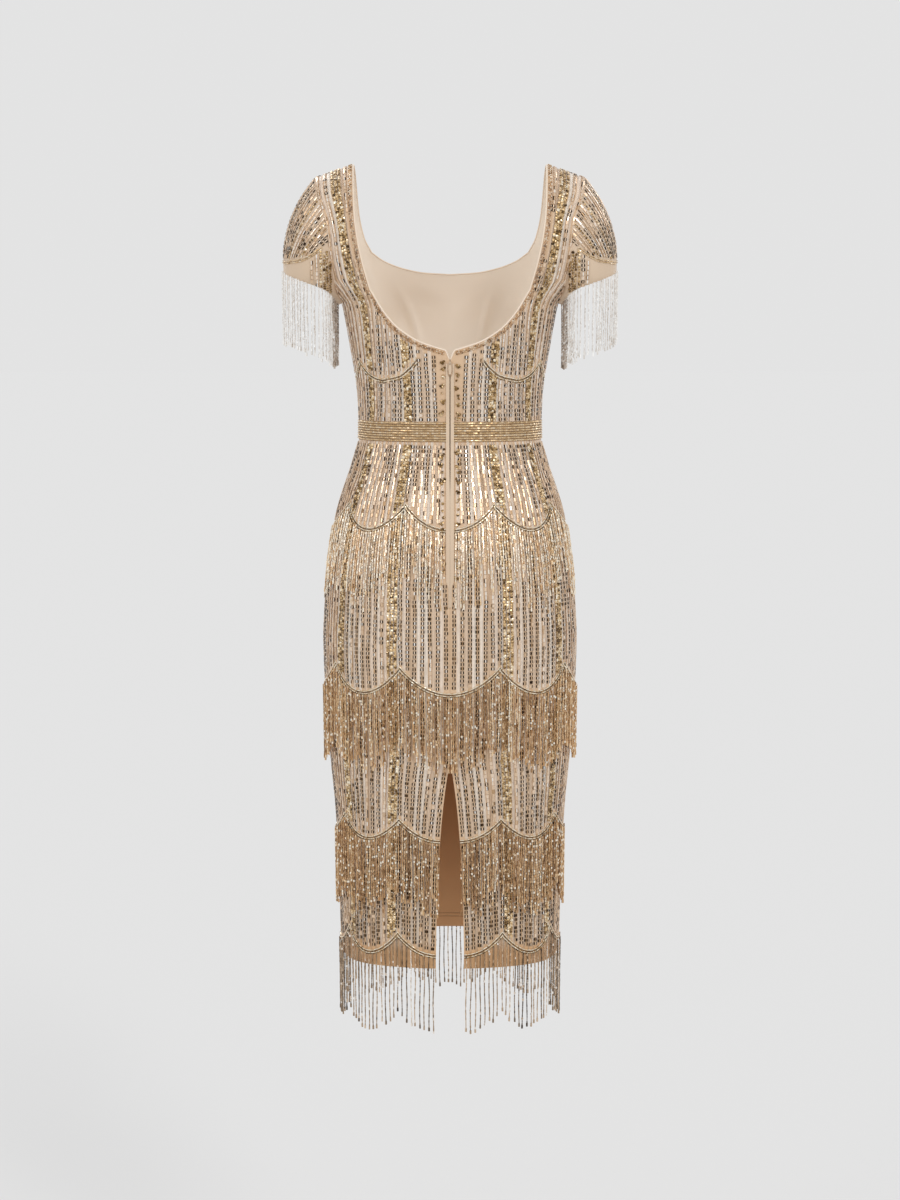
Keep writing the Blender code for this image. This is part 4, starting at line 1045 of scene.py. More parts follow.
def sew_plates(beads, line, outs, keep, white, dashes, wide=PLATE_WIDE):
    """One row of long sequins, with a painted highlight down their middles.

    A row has sides painted dark, as dark reflections, where its own number is under the share that DASHED
    gives there.
    It wanders a little aside, and brighter and darker, on straight steps over a few sequins each.
    """
    places, ways, normals = sewn_on(line, outs, PLATE_PITCH, keep)
    count = len(places)
    if not count:
        return
    knots = np.arange(0, count + WANDER_EVERY, WANDER_EVERY)
    slow = np.interp(np.arange(count), knots, rng.normal(0, 1, len(knots)))
    height = places[:, 2]
    own = rng.uniform(0, ROW_OWN)
    dark = through(DASHED, height)[:, 0] * dashes > own + WANDER_DARK * slow + rng.normal(0, 0.08, count)
    middle = white * through(MIDDLE_HIGHLIGHT, height)[:, 0] + WANDER_TONE * slow
    middle = middle + rng.normal(0, 0.15, count) - 0.08 * dark
    side = np.where(dark, SIDE_DARK, SIDE_PALE * white) + rng.normal(0, 0.07, count)
    faces = np.stack([side, middle, side + rng.normal(0, 0.05, count), side, side, side], axis=1)
    faces[:, [0, 2]] += (rng.random((count, 2)) < GLINTS) * np.where(dark, GLINT, DULL)[:, None]
    long = np.where(dark, PLATE_LONG, PLATE_PITCH - PLATE_GAP)
    wide = wide * np.where(dark, DARK_WIDE, 1.0) * rng.uniform(0.9, 1.04, count)
    sizes = np.stack([long, wide, np.full(count, PLATE_TALL)], axis=1)
    astray = WANDER_ASIDE * slow[:, None] + rng.normal(0, 0.00015, (count, 1))
    places = places + np.cross(normals, unit(ways)) * astray
    beads.add(places + normals * SEQUIN_OUT, ways, tipped(normals, 0.10), sizes, faces)


def sew_row(beads, band, line, outs, keep):
    """A band's row of discs or plates along a line."""
    if band.gold:
        sew_discs(beads[1], line, outs, keep, band.white)
    else:
        sew_plates(beads[0], line, outs, keep, band.white, band.dashes)


def trim_points(half):
    """The bodice's scalloped bead line on one half, as shares and heights."""
    start = 0.0 if half.sign < 0 else LINE_START[0][0]
    share = np.linspace(start, 1, TRIM_POINTS)
    heights = scallop(share, BODICE_CUSPS, BODICE_CUSP, BODICE_DROP)
    if half.sign > 0:
        heights = np.where(share < LINE_START[-1][0], through(LINE_START, share)[:, 0], heights)
    return share, heights


def neck_points(half):
    """Points and normals along a neckline, from its centre end up to the shoulder."""
    edge = EDGES[half.sign]
    x, height = low_neckline(half, NECK_POINTS)
    start = float(turn_at(*edge.low_neck[-1]))
    turn = start + (1 - 4 * SHOULDER_GAP - start) * np.linspace(0, 1, NECK_POINTS + 1)[1:]
    x = np.append(x, strap_edge(half, edge.high_neck, turn))
    turn = np.append(turn_at(x[: len(height)], height), turn)
    return laid(strap, half, x, turn)


def eased(values, run, reach=0.020):
    """Values along a line, each averaged with those near it by a bell of weights."""
    weight = np.exp(-(((run[:, None] - run) / reach) ** 2)) * np.gradient(run)
    weight = weight * (np.abs(run[:, None] - run) < np.minimum(run, run[-1] - run)[:, None] + 1e-4)
    return weight @ values / weight.sum(axis=1)


def column_at(grid, column):
    """A grid's column at a broken number, by straight steps between its neighbours."""
    i = min(int(column), grid.shape[1] - 2)
    part = column - i
    return grid[:, i] * (1 - part) + grid[:, i + 1] * part


def bodice_rows(beads, half):
    """Rows up the bodice's own columns; those that reach a strap run on over it, eased round the bend."""
    b = BODICES[half]
    neck, _ = neck_points(half)
    trim, _ = panel(half, *trim_points(half))

    def keep(places):
        clear = ~near(places, neck, NECK_BAND + NECK_CLEAR) & ~near(places, trim, TRIM_CLEAR)
        clear &= ~near(places, b.armhole, ARMHOLE_CLEAR)
        if half.sign > 0:
            clear &= np.abs(places[:, 0]) > ZIP_CLEAR
        return clear

    def keep_high(places):
        return keep(places) & (places[:, 2] > STRAP_ROWS_LOW)

    rows = row_shares("bodice") + [(share, STRAP_BAND) for share in STRAP_SHARES]
    if half.sign < 0:
        rows += [(share, BANDS["bodice"][0]) for share in FRONT_SHARES]
    for share, band in rows:
        column = np.interp(share, b.shares, np.arange(len(b.shares)))
        line, outs = (column_at(grid, column) for grid in (b.low, b.low_out))
        on_strap = column - NECK_COLUMNS
        if 0 <= on_strap < FOOT_COLUMNS:
            up, turn = (column_at(grid, on_strap) for grid in (b.high, b.turn))
            turn = np.append(turn_at(np.abs(line[:, 0]), line[:, 2]), turn)
            line = np.concatenate([line, up])
            x = eased(np.abs(line[:, 0]), lengths(line))
            line, outs = laid(strap, half, x, turn)
        sew_row(beads, band, line, outs, keep_high if band is STRAP_BAND else keep)


def skirt_rows(beads, half):
    """Rows straight down the skirt at each share, parted at the tiers' lines; the one by the zip is short."""
    for share, band in row_shares("skirt"):
        low = tier_height(half, TIERS[-1], np.array(share)) + HEM_CLEAR
        top = PLACKET_NARROW if share < 0.03 and half.sign > 0 else WAIST_LOW - WAIST_CLEAR
        heights = np.linspace(top, low, ROW_POINTS)
        line, outs = panel(half, share, heights)

        def keep(places, share=share):
            clear = np.ones(len(places), bool)
            for tier in TIERS[:-1]:
                at = tier_height(half, tier, np.array(share)) - TRIM_TALL / 2
                clear &= np.abs(places[:, 2] - at) > TIER_CLEAR
            if half.sign > 0:
                x, height = np.abs(places[:, 0]), places[:, 2]
                clear &= (x > ZIP_CLEAR) | (height < PLACKET_NARROW)
                clear &= (x - centre_x(half, height) > SLIT_CLEAR) | (height > SLIT_TOP + 0.01)
            return clear

        sew_row(beads, band, line, outs, keep)


LOOSE_FROM, LOOSE_STEP, LOOSE_UNEVEN, LOOSE_OUT = -0.2580, 0.0080, 0.0028, 0.0016
LOOSE_NEAR, LOOSE_FAR, BELT_CLEAR, LOOSE_SIZE = 0.0078, 0.0115, 0.0155, (0.0021, 0.0021, 0.0008)
# Chance of three together, and where the other two lie: further out and up
THREES, THREE_OUT, THREE_UP = 0.45, (-0.0013, 0.0019), (0.0026, 0.0012)


def loose_sequins(beads, half):
    """Sequins at uneven steps down beside the zip, some in threes: two more, above and either side."""
    heights = np.arange(LOOSE_FROM, PLACKET_NARROW, -LOOSE_STEP)
    heights = heights + rng.normal(0, LOOSE_UNEVEN, len(heights))
    x = rng.uniform(LOOSE_NEAR, LOOSE_FAR, len(heights))
    threes = rng.random(len(heights)) < THREES
    heights = np.concatenate([heights, *(heights[threes] + by for by in THREE_UP)])
    x = np.concatenate([x, *(x[threes] + by for by in THREE_OUT)])
    kept = np.abs(heights - WAIST_MIDDLE) > BELT_CLEAR
    heights, x = heights[kept], x[kept]
    angle = angle_at(x, heights)
    points, normals = laid(torso, half, angle, heights)
    ways = tipped(np.tile([0.0, 0.0, 1.0], (len(points), 1)), 0.4)
    tones = rng.uniform(0.0, 0.45, len(points))[:, None]
    tones = tones + (rng.random((len(points), len(SEQUIN.faces))) < 0.2) * 0.5
    beads.add(points + normals * LOOSE_OUT, ways, tipped(normals, 0.25), LOOSE_SIZE, tones)


for where, halves in PANELS.items():
    for part, sew in (("bodice", bodice_rows), ("skirt", skirt_rows)):
        plates, discs = Beads(PLATE), Beads(SEQUIN)
        for half in halves:
            sew((plates, discs), half)
            if half.sign > 0 and part == "skirt":
                loose_sequins(discs, half)
        placed(plates.made(f"sequins_{part}_{where}", SEQUINS), f"{part}_{where}", replaces=False)
        placed(discs.made(f"gold_{part}_{where}", GOLD_BEADS), f"{part}_{where}", replaces=False)


# Bead lines

LINE_PITCH, LINE_BEAD = 0.0018, (0.0018, 0.00090, 0.00090)
# Rows of tiny dark beads under the lines of beads, put there as painted shade
SHADE_ROW_PITCH, SHADE_ROW_BEAD = 0.0036, (0.0036, 0.0006, 0.0006)
BELT_ROWS, BELT_PITCH, BELT_BEAD, BELT_OUT = 8, 0.0029, (0.0028, 0.00125, 0.00125), 0.0012
BELT_TONE, BELT_ROW_SPREAD, BELT_SPREAD = 0.66, 0.04, 0.07
BELT_ENDS = {-1: (0.001, 0.999), 1: (0.012, 0.999)}  # shares between which each side's rows run
NECK_PITCH, NECK_ROWS_IN, NECK_ROWS_APART, NECK_BEAD = 0.0019, 0.0012, 0.0018, (0.0020, 0.00095, 0.00095)
NECK_TONE, NECK_SPREAD, ROW_STEEPEST = 0.70, 0.34, 1.6


def bead_line(beads, line, outs, pitch, size, tone, spread, out=None):
    """Beads strung along a line, lying on the cloth, each rolled its own way."""
    places, ways, normals = strung(line, outs, pitch)
    rise = size[2] * 0.95 if out is None else out
    roll = rng.uniform(-0.5, 0.5, len(places))[:, None]
    rolled = normals * np.cos(roll) + unit(np.cross(normals, ways)) * np.sin(roll)
    each = tone + rng.normal(0, spread, (len(places), 1))
    faces = each + rng.normal(0, 0.08, (len(places), len(beads.shape.faces)))
    beads.add(places + normals * rise, ways, rolled, size, faces)


def row_below(points, heights, by):
    """Heights of a row sewn a distance below a line: more where the line is steep."""
    level = level_run(points[:, 0], points[:, 1])
    slope = np.gradient(heights, level)
    return heights - by * np.minimum(np.sqrt(1 + slope**2), ROW_STEEPEST)


# Each pale row, near-white partly as painted highlight, has a dark row of painted shade beneath it
PIPING = (
    # distance below the line, pitch, bead, tone and its spread
    (0.0003, LINE_PITCH, LINE_BEAD, 0.98, 0.20),
    (0.0020, SHADE_ROW_PITCH, SHADE_ROW_BEAD, 0.12, 0.08),
    (0.0037, LINE_PITCH, LINE_BEAD, 0.96, 0.20),
    (0.0051, SHADE_ROW_PITCH, SHADE_ROW_BEAD, 0.20, 0.08),
)
STRANDS_BELOW = 0.0046  # how far below a tier's line its strands start


def piping(beads, half, share, heights):
    """Two pale rows of gold beads, partly painted highlight, under a scalloped line, each over a dark row of
    painted shade.

    Returns the heights of the line where strands start.
    """
    points, _ = panel(half, share, heights)
    for by, *bead in PIPING:
        bead_line(beads, *panel(half, share, row_below(points, heights, by)), *bead)
    return row_below(points, heights, STRANDS_BELOW)


for where, halves in PANELS.items():
    beads = Beads(BARREL)
    for half in halves:
        piping(beads, half, *trim_points(half))
    placed(beads.made("piping_bodice_" + where, GOLD_BEADS), "bodice_trim_" + where)

for where, halves in PANELS.items():
    beads = Beads(ROUND)
    for half in halves:
        share = np.linspace(*BELT_ENDS[half.sign], ROW_POINTS)
        for height in WAIST_LOW + (np.arange(BELT_ROWS) + 0.5) * (WAIST_TOP - WAIST_LOW) / BELT_ROWS:
            line, outs = panel(half, share, np.full(len(share), height))
            tone = BELT_TONE + rng.normal(0, BELT_ROW_SPREAD)
            bead_line(beads, line, outs, BELT_PITCH, BELT_BEAD, tone, BELT_SPREAD, BELT_OUT)
    placed(beads.made("beads_waistband_" + where, GOLD_BEADS), "waistband_" + where, replaces=False)

for where, halves in PANELS.items():
    beads = Beads(SEED)
    for half in halves:
        line, outs = neck_points(half)
        aside = unit(np.cross(np.gradient(line, axis=0), outs)) * -half.sign * half.side
        for by in np.arange(NECK_INSET + NECK_ROWS_IN, NECK_BAND, NECK_ROWS_APART):
            bead_line(beads, line + aside * by, outs, NECK_PITCH, NECK_BEAD, NECK_TONE, NECK_SPREAD)
    placed(beads.made("beads_neck_" + where, FRINGE_BEADS), "neck_band_" + where)


def tube(name, line, outs, radius, material, sides=8):
    """A round cord along a line: a circle about each point, closed at both ends."""
    ways = unit(np.gradient(line, axis=0))
    beside = unit(np.cross(outs, ways))
    up = np.cross(ways, beside)
    swell = radius * np.sqrt(np.clip(1 - np.linspace(-1, 1, len(line)) ** 40, 0.1, 1))[:, None, None]
    cosines, sines = circle(sides).T[..., None]
    rings = line[:, None] + swell * (beside[:, None] * cosines + up[:, None] * sines)
    ids = np.arange(len(line) * sides).reshape(len(line), sides)
    after = np.roll(ids, -1, axis=1)
    quads = np.stack([ids[:-1], after[:-1], after[1:], ids[1:]], axis=-1).reshape(-1)
    corners = np.concatenate([quads, ids[0, ::-1], ids[-1]])
    starts = np.append(np.arange(len(quads) // 4) * 4, [len(quads), len(quads) + sides])
    return write_mesh(name, rings.reshape(-1, 3), corners, starts, [material], smooth=True)


def binding_line(half):
    """The neckline of a half, and behind also the edge of the notch over the zip."""
    line, outs = neck_points(half)
    if half.sign < 0:
        return line, outs
    heights = np.linspace(NOTCH_LOW + 0.001, NOTCH_TOP - 0.0004, 12)
    angle = angle_at(centre_x(half, heights), heights)
    notch, notch_out = laid(torso, half, angle, heights)
    return np.concatenate([notch, line[2:]]), np.concatenate([notch_out, outs[2:]])


BINDING = 0.0011
for where, halves in PANELS.items():
    lines = [binding_line(half) for half in halves]
    if len(lines) == 2:
        lines = [tuple(np.concatenate([b[:0:-1], a]) for a, b in zip(*lines))]
    line, outs = lines[0]
    piece = tube("binding_neck_" + where, line - outs * SHELL / 2, outs, BINDING, BINDING_CLOTH)
    placed(piece, "bodice_" + where, replaces=False)


# Fringe

STRAND_BEAD, STRAND_PITCH = (0.0034, 0.00105, 0.00105), 0.0037
STRAND_OUT, STRAND_LAYER, STRAND_LEAN, STRAND_SWAY, SWAY_LONG = 0.0024, 0.0009, 0.0075, 0.0004, 0.012
# Sparks are painted glints: beads made wider, shorter and paler than the rest of their strand
SPARK_WIDE, SPARK_LONG, SPARK_TONE = 1.45, 0.55, 0.6
# How much nearer the cloth a strand's foot hangs, and how a strand's beads spread in width and tone
FOOT_NEARER, STRAND_WIDE, STRAND_MOTTLE, LONGEST = 0.35, (0.88, 1.05), 0.09, 1.06


def hang(beads, tops, outs, falls, tones, sparks=0.05, push=None):
    """Strands of beads that hang from their tops, level outs away from the cloth, by their falls.

    Bead k of a strand lies k pitches down it; push moves it out where the cloth below swells, and
    a slow wave and a small lean move it aside.
    """
    count = len(tops)
    steps = int(falls.max() / STRAND_PITCH)
    down = (np.arange(steps) + 0.5) * STRAND_PITCH
    aside = np.cross([0, 0, 1.0], outs)
    layer = STRAND_OUT + STRAND_LAYER * (np.arange(count) % 2) + rng.normal(0, 0.0003, count)
    sway = rng.normal(0, STRAND_LEAN, (count, 1)) * down
    sway = sway + STRAND_SWAY * np.sin(down / SWAY_LONG + rng.uniform(0, math.tau, (count, 1)))
    far = layer[:, None] * (1 - FOOT_NEARER * down / down[-1]) + (0 if push is None else push(down))
    places = tops[:, None] + outs[:, None] * far[..., None] + aside[:, None] * sway[..., None]
    places[..., 2] -= down
    ends = np.floor(falls / STRAND_PITCH - rng.integers(0, 2, count))
    kept = np.arange(steps) < ends[:, None]
    last = np.arange(steps) == ends[:, None] - 1
    ways = np.gradient(places, axis=1)
    roll = rng.uniform(0, math.tau, (count, steps, 1))
    looks = outs[:, None] * np.cos(roll) + aside[:, None] * np.sin(roll)
    # Some beads are sparks: painted glints
    spark = rng.random((count, steps)) < sparks
    tone = tones[:, None] + rng.normal(0, STRAND_MOTTLE, (count, steps)) + spark * SPARK_TONE
    wide = np.where(last | spark, SPARK_WIDE, rng.uniform(*STRAND_WIDE, (count, steps)))
    sizes = wide[kept][:, None] * np.array(STRAND_BEAD)
    sizes[:, 0] *= np.where(spark[kept], SPARK_LONG, 1.0)
    faces = tone[kept][:, None] + rng.normal(0, 0.06, (kept.sum(), len(beads.shape.faces)))
    beads.add(places[kept], ways[kept], looks[kept], sizes, faces)


def tier_strands(beads, half, tier, share, tops_at):
    """Strands at equal steps of the way round, hanging from a tier's lower row of beads."""
    points, _ = panel(half, share, tops_at)
    level = level_run(points[:, 0], points[:, 1])
    count = int(level[-1] / tier.pitch)
    at = np.interp((np.arange(count) + 0.5) * level[-1] / count, level, share)
    height = np.interp(at, share, tops_at)
    tops, normals = panel(half, at, height)
    normals[:, 2] = 0
    outs = unit(normals)

    def push(down):
        below = np.maximum(height[:, None] - down, HEM)
        line, _ = panel(half, at[:, None], below)
        out = np.sum((line - tops[:, None]) * outs[:, None], axis=-1)
        return np.maximum.accumulate(np.clip(out, 0, None), axis=1)

    tones = tier.tone + rng.normal(0, tier.spread, count)
    falls = FRINGE_LONG * np.minimum(rng.uniform(tier.shortest, LONGEST, count), 1)
    hang(beads, tops, outs, falls, tones, tier.sparks, push=push)


for tier in TIERS:
    for where, halves in PANELS.items():
        node = f"fringe_{tier.name}_{where}"
        lines, strands = Beads(BARREL), Beads(BARREL)
        for half in halves:
            share = np.linspace(tier.start if half.sign > 0 else 0.0, 1, LINE_POINTS)
            below = piping(lines, half, share, tier_height(half, tier, share))
            tier_strands(strands, half, tier, share, below)
        placed(lines.made(f"piping_{tier.name}_{where}", GOLD_BEADS), node, replaces=False)
        finish = SMOKY_BEADS if tier.name == "hem" else FRINGE_BEADS
        placed(strands.made(f"strands_{tier.name}_{where}", finish), node)


# Sleeves

Sleeve = namedtuple("Sleeve", "grid outs place")


def sleeve_form(side):
    """Rows of a sleeve from its armhole seam to its hem, with its outward directions.

    A column joins a point of the seam to a point of the hem, and bows out by its crown. Its place
    runs from -1 at the underarm, up behind the arm to 0 and down before it to 1.
    """
    back, front = BODICES[Half(1, 1)], BODICES[Half(-1, 1)]
    seam = np.concatenate([back.armhole, front.armhole[::-1][1:]])
    normals = np.concatenate([back.armhole_out, front.armhole_out[::-1][1:]])
    top = len(back.armhole) - 1
    seam[top, 1] = 0
    away = np.cross(np.gradient(seam, axis=0), normals)
    away[[0, -1], 1] = 0
    away = unit(away)
    away *= np.sign(away[top, 0])
    seam = seam + SLEEVE_SEAM * away
    run = lengths(seam)
    before = np.arange(len(seam)) > top
    share = np.where(before, (run - run[top]) / (run[-1] - run[top]), 1 - run / run[top])
    hem = through(SLEEVE_HEM, share)
    hem[:, 1] *= np.where(before, -SLEEVE_FRONT, 1)
    hem[0, 1], hem[-1, 1] = seam[0, 1], seam[-1, 1]
    chord = hem - seam
    beside = (seam + hem) / 2 - np.array([ARM_X, 0.0, 0.0])
    beside[:, 2] = ARM_RISE * (1 - share) ** 2
    crown = unit(beside - chord * (np.sum(beside * chord, axis=1) / np.sum(chord * chord, axis=1))[:, None])
    v = np.linspace(0, 1, SLEEVE_ROWS + 1)[:, None, None]
    lift = (SLEEVE_CROWN * (1 - share) ** CROWN_CURVE)[:, None]
    grid = seam + chord * v + crown * lift * 4 * v * (1 - v)
    outs = np.cross(np.gradient(grid, axis=0), np.gradient(grid, axis=1))
    outs[:, [0, -1], 1] = 0
    outs = unit(outs)
    outs *= np.sign(outs[SLEEVE_ROWS // 2, top, 0])
    flip = np.array([side, 1, 1])
    return Sleeve(grid * flip, outs * flip, np.where(before, share, -share))


def on_grid(grid, row, column):
    """Points between the points of a grid, by straight steps."""
    row, column = np.broadcast_arrays(np.asarray(row, float), np.asarray(column, float))
    r = np.clip(row.astype(int), 0, grid.shape[0] - 2)
    c = np.clip(column.astype(int), 0, grid.shape[1] - 2)
    s, t = (row - r)[..., None], (column - c)[..., None]
    above = grid[r, c] * (1 - t) + grid[r, c + 1] * t
    below = grid[r + 1, c] * (1 - t) + grid[r + 1, c + 1] * t
    return above * (1 - s) + below * s


SLEEVE_BEAD_ROWS, FAN_START, FAN_WIDE = 70, 0.006, 0.0019
FAN_GOLD, FAN_HIGHLIGHTS = 0.45, (0.98, 0.74, 0.88)
SLEEVE_LINES_ASIDE, SLEEVE_LINE_CLEAR = 0.0012, 0.0036
SLEEVE_LINE_BEADS = (LINE_PITCH, LINE_BEAD, 0.66, 0.15)  # pitch, bead, tone and its spread
# Stripes below the line: how far out each is, and the tone of its gold discs, or 0 for silver
SLEEVE_STRIPES = ((0.1570, 0.40), (0.1605, 0.34), (0.1640, 0.48), (0.1685, 0.55), (0.1735, 0), (0.1805, 0))
STRIPE_PLACE, STRIPE_CLEAR, STRIPE_WIDE = 0.30, 0.03, 0.0021
# Strands near the body are painted dark: painted shade beside the body
SLEEVE_STRAND_PITCH, INNER_STRANDS_X, SHADED_INNER_TONE, OUTER_TONE = 0.0055, 0.1560, 0.30, 0.90
STRANDS_IN, STRANDS_UP = 0.0010, 0.0015  # where they start, from the hem


def on_sleeve(form, row, column):
    """Points of a sleeve, and directions out from it, between those of its grid."""
    return on_grid(form.grid, row, column), unit(on_grid(form.outs, row, column))


def fan_rows(plates, discs, form, line, piped):
    """Rows that fan from the armhole's seam down to the bead line, each fifth one of gold discs."""
    number = np.arange(len(form.place))

    def clear(places):
        return ~near(places, line, SLEEVE_LINE_CLEAR)

    for row in range(SLEEVE_BEAD_ROWS):
        place = (row + 0.5) / SLEEVE_BEAD_ROWS * 2 - 1
        if abs(place) > SLEEVE_LINE[-1][0]:
            continue
        column = np.interp(place, form.place, number)
        down = np.linspace(FAN_START * SLEEVE_ROWS, np.interp(column, number, piped), FAN_POINTS)
        run, outs = on_sleeve(form, down, column)
        if row % 5 == 0:
            sew_discs(discs, run, outs, clear, FAN_GOLD, FAN_WIDE)
        else:
            sew_plates(plates, run, outs, clear, FAN_HIGHLIGHTS[row % 3], 1.0, FAN_WIDE)


def stripe_rows(plates, discs, form, piped):
    """Upright stripes below the bead line, behind and before, each along the points with its own x."""
    number, rows = np.arange(len(form.place)), np.arange(SLEEVE_ROWS + 1)

    def inside(places):
        return places[:, 2] > UNDERARM - 0.001

    for before in (-1, 1):
        for x, gold in SLEEVE_STRIPES:
            columns = number[(form.place * before > STRIPE_PLACE) & (np.abs(form.grid[-1, :, 0]) > x)]
            down = np.array([np.interp(x, np.abs(form.grid[:, c, 0]), rows) for c in columns])
            below = down > piped[columns] + STRIPE_CLEAR * SLEEVE_ROWS
            run, outs = on_sleeve(form, down[below], columns[below])
            if gold:
                sew_discs(discs, run, outs, inside, gold, STRIPE_WIDE)
            else:
                sew_plates(plates, run, outs, inside, 1.0, 0.2, STRIPE_WIDE)


def sleeve_strands(form):
    """Strands at even steps of the hem, whose lower ends lie on a sloping line; those by the body painted
    dark as shade.
    """
    places, _, normals = strung(form.grid[-1], form.outs[-1], SLEEVE_STRAND_PITCH)
    normals[:, 2] = 0
    outs = unit(normals)
    end, slope = SLEEVE_FRINGE_END
    falls = places[:, 2] - end + slope * (SLEEVE_HEM[0][1] - np.abs(places[:, 0]))
    tops = places - outs * STRANDS_IN + np.array([0, 0, STRANDS_UP])
    inner = np.abs(places[:, 0]) < INNER_STRANDS_X
    tones = np.where(inner, SHADED_INNER_TONE, OUTER_TONE) + rng.normal(0, 0.07, len(places))
    strands = Beads(BARREL)
    hang(strands, tops, outs, falls, tones)
    return strands


for name, side in SIDES.items():
    node = "sleeve_" + name
    form = sleeve_form(side)
    cloth = Cloth()
    rows_round = (form.place + 1) / 2 * SLEEVE_BEAD_ROWS + 0.0001
    cloth.face(cloth.lay(form.grid, form.outs, rows_round + 0 * form.grid[..., 0], lengths(form.grid)))
    placed(cloth.made("cloth_" + node, (PLAIN, LINING)), node)

    at = np.linspace(-1, 1, LINE_POINTS) * SLEEVE_LINE[-1][0]
    level = through(SLEEVE_LINE, np.abs(at))[:, 0] * SLEEVE_ROWS
    line, outs = on_sleeve(form, level, np.interp(at, form.place, np.arange(len(form.place))))
    aside = unit(np.cross(np.gradient(line, axis=0), outs))
    lines = Beads(BARREL)
    for by in (-SLEEVE_LINES_ASIDE, SLEEVE_LINES_ASIDE):
        bead_line(lines, line + aside * by, outs, *SLEEVE_LINE_BEADS)
    placed(lines.made("piping_" + node, GOLD_BEADS), "sleeve_trim_" + name)

    # how far down the line lies at each column, or 0 past its ends
    ends = [(0.53, 0.0), (1.0, 0.0)]
    piped = np.interp(np.abs(form.place), *np.array(SLEEVE_LINE + ends).T) * SLEEVE_ROWS
    plates, discs = Beads(PLATE), Beads(SEQUIN)
    fan_rows(plates, discs, form, line, piped)
    stripe_rows(plates, discs, form, piped)
    placed(plates.made("sequins_" + node, SEQUINS), node, replaces=False)
    placed(discs.made("gold_" + node, GOLD_BEADS), node, replaces=False)
    placed(sleeve_strands(form).made("strands_" + node, CLEAR_BEADS), "fringe_" + node)


# Zip

TAPE_THICK, CLOTH_REPEAT = 0.0007, 0.003
ZIP_POINTS, TAPE_COLUMNS, PLACKET_POINTS, PLACKET_COLUMNS = 90, 9, 120, 7
PLACKET_LOW, PLACKET_HIGH, PLACKET_CLOSED = -0.5750, -0.2600, -0.3900
PLACKET_WIDE, PLACKET_DRAWN, PLACKET_THICK, PLACKET_OUT = 0.0052, 0.0030, 0.0008, 0.0013
GAP_OPEN, GAP_CLOSES, BELT_LIFT, BELT_REACH = 0.0008, 0.0007, 0.0010, 0.014
TAB_CLEAR, TAB_END = 0.0031, -0.2790  # the plackets part round the pull tab, down to its end
# Over how tall a stretch the gap closes, the plackets part for the tab, and draw in at their foot
CLOSES_OVER, PARTS_OVER, DRAWS_OVER = 0.05, 0.006, 0.012
TOOTH_PITCH, TOOTH, TEETH_IN = 0.00125, (0.0040, 0.00045, 0.0008), 0.0016


def zip_tape(heights, depth):
    """A flat strip that follows the form behind the centre back."""
    x = np.linspace(-TAPE_HALF, TAPE_HALF, TAPE_COLUMNS)
    tape = np.stack(np.broadcast_arrays(x, depth[:, None], heights[:, None]), axis=-1)
    cloth = Cloth()
    outs = np.broadcast_to([0.0, 1.0, 0.0], tape.shape)
    cloth.face(cloth.lay(tape, outs, x / CLOTH_REPEAT, heights[:, None]))
    return cloth


def placket(side):
    """A folded edge beside the zip: parted round the tab, nearly closed below, and lifted over the belt."""
    heights = np.linspace(PLACKET_HIGH, PLACKET_LOW, PLACKET_POINTS)
    gap = GAP_OPEN - GAP_CLOSES * smooth_step((PLACKET_CLOSED - heights) / CLOSES_OVER)
    gap = gap + (TAB_CLEAR - gap) * smooth_step((heights - TAB_END) / PARTS_OVER)
    drawn = smooth_step((PLACKET_NARROW + DRAWS_OVER / 2 - heights) / DRAWS_OVER)
    wide = PLACKET_WIDE - PLACKET_DRAWN * drawn
    x = gap[:, None] + (wide - gap)[:, None] * np.linspace(0, 1, PLACKET_COLUMNS)
    levels = heights[:, None] + 0 * x
    half = Half(1, side)
    angle = angle_at(x, levels)
    points, normals = laid(torso, half, angle, levels)
    lift = PLACKET_OUT + BELT_LIFT * np.exp(-(((heights - WAIST_MIDDLE) / BELT_REACH) ** 4))
    cloth = Cloth()
    cloth.face(cloth.lay(points + normals * lift[:, None, None], normals, x / CLOTH_REPEAT, levels))
    return cloth


zip_low, zip_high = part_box("zip")
heights = np.linspace(zip_high.z, zip_low.z, ZIP_POINTS)
depth = torso(Half(1, 1), np.zeros(len(heights)), heights)[:, 1] - CLOTH - TAPE_INSET
placed(zip_tape(heights, depth).made("zip_tape", (PLAIN, PLAIN), TAPE_THICK), "zip")
for name, side in SIDES.items():
    piece = placket(side).made("placket_" + name, (PLAIN, PLAIN), PLACKET_THICK)
    placed(piece, "bodice_back_" + name, replaces=False)
teeth = Beads(ROUND)
middle = np.stack([0 * heights, depth - TEETH_IN, heights], axis=-1)
places, _, normals = strung(middle, np.broadcast_to([0.0, 1.0, 0.0], middle.shape), TOOTH_PITCH)
teeth.add(places, np.tile([1.0, 0.0, 0.0], (len(places), 1)), normals, TOOTH, 0.5)
placed(teeth.made("zip_teeth", ENAMEL), "zip", replaces=False)
for node in ("zip_slider", "zip_pull_tab"):
    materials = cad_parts[node].data.materials
    materials.clear()
    materials.append(ENAMEL)
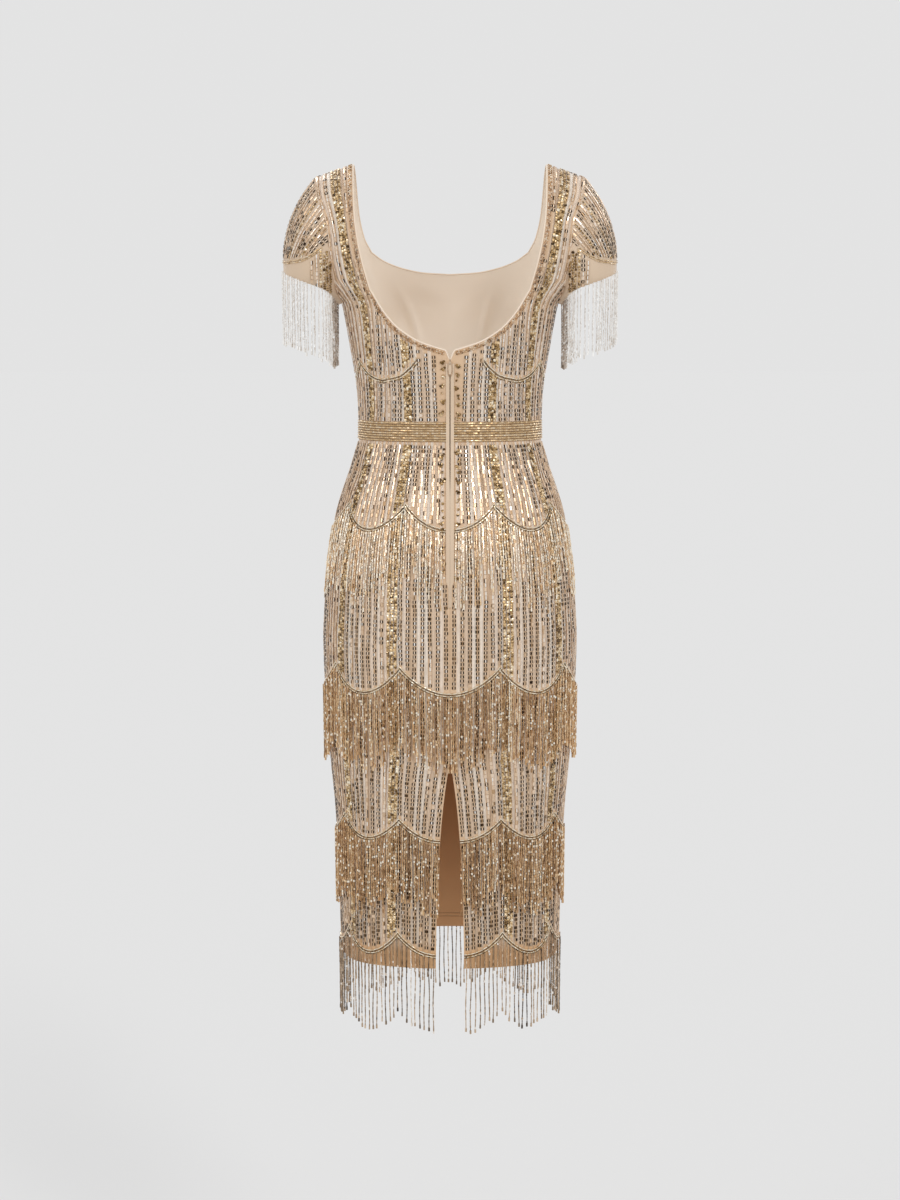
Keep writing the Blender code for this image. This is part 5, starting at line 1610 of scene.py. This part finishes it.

# A cut of cloth: its width, length and area, and what it hangs from
Cut = namedtuple("Cut", "width length area hangs_from")


# Stage

FLOOR, FLOOR_REACH, FLOOR_COLOUR = -1.90, 60.0, (0.76, 0.76, 0.76)
PALE = 0.77
# Soft far lights: strength, how wide each looks, how far above, and the side it comes from
SUNS = {
    "key": (0.55, 14, 30, 205),
    "fill": (0.35, 22, 24, 140),
    "front_key": (0.45, 16, 32, 25),
    "front_fill": (0.30, 24, 24, -40),
}
# The photograph's camera: its place, how far above its middle the horizon is and its focal
# length, both in pixels, and its lens
CAMERA_PLACE, HORIZON, FOCAL, LENS = (0.0, 3.477, -0.178), 300, 2592.6, 77.8


def make_floor(sides=64):
    """One flat round face."""
    x, y = FLOOR_REACH * circle(sides).T
    points = np.stack([x, y, np.full(sides, FLOOR)], axis=-1)
    f = Finish("pale_floor", Roughness=0.9, Base_Color=FLOOR_COLOUR)
    f.set("Specular IOR Level", 0.0)
    write_mesh("floor", points, np.arange(sides), np.array([0]), [f.material])


def add_sun(name, strength, angle, tilt, turn):
    """A soft far light: tilt is how far it comes from above, turn the side that it comes from."""
    light = bpy.data.lights.new(name, "SUN")
    light.energy, light.angle = strength, math.radians(angle)
    made = bpy.data.objects.new(name, light)
    made.rotation_euler = (math.radians(90 - tilt), 0, math.radians(turn))
    bpy.context.scene.collection.objects.link(made)


make_floor()
world = bpy.data.worlds.new("studio")
bpy.context.scene.world = world
world.use_nodes = True
world.node_tree.nodes["Background"].inputs["Color"].default_value = (PALE, PALE, PALE, 1)
world.node_tree.nodes["Background"].inputs["Strength"].default_value = 1.0
for name, light in SUNS.items():
    add_sun(name, *light)
bpy.context.scene.view_settings.view_transform = "Standard"

camera = bpy.data.cameras.new("photo")
camera.lens, camera.sensor_width = LENS, 36.0
camera_object = bpy.data.objects.new("photo", camera)
camera_object.location = CAMERA_PLACE
camera_object.rotation_euler = (math.pi / 2 - math.atan(HORIZON / FOCAL), 0, math.pi)
bpy.context.scene.collection.objects.link(camera_object)
bpy.context.scene.camera = camera_object
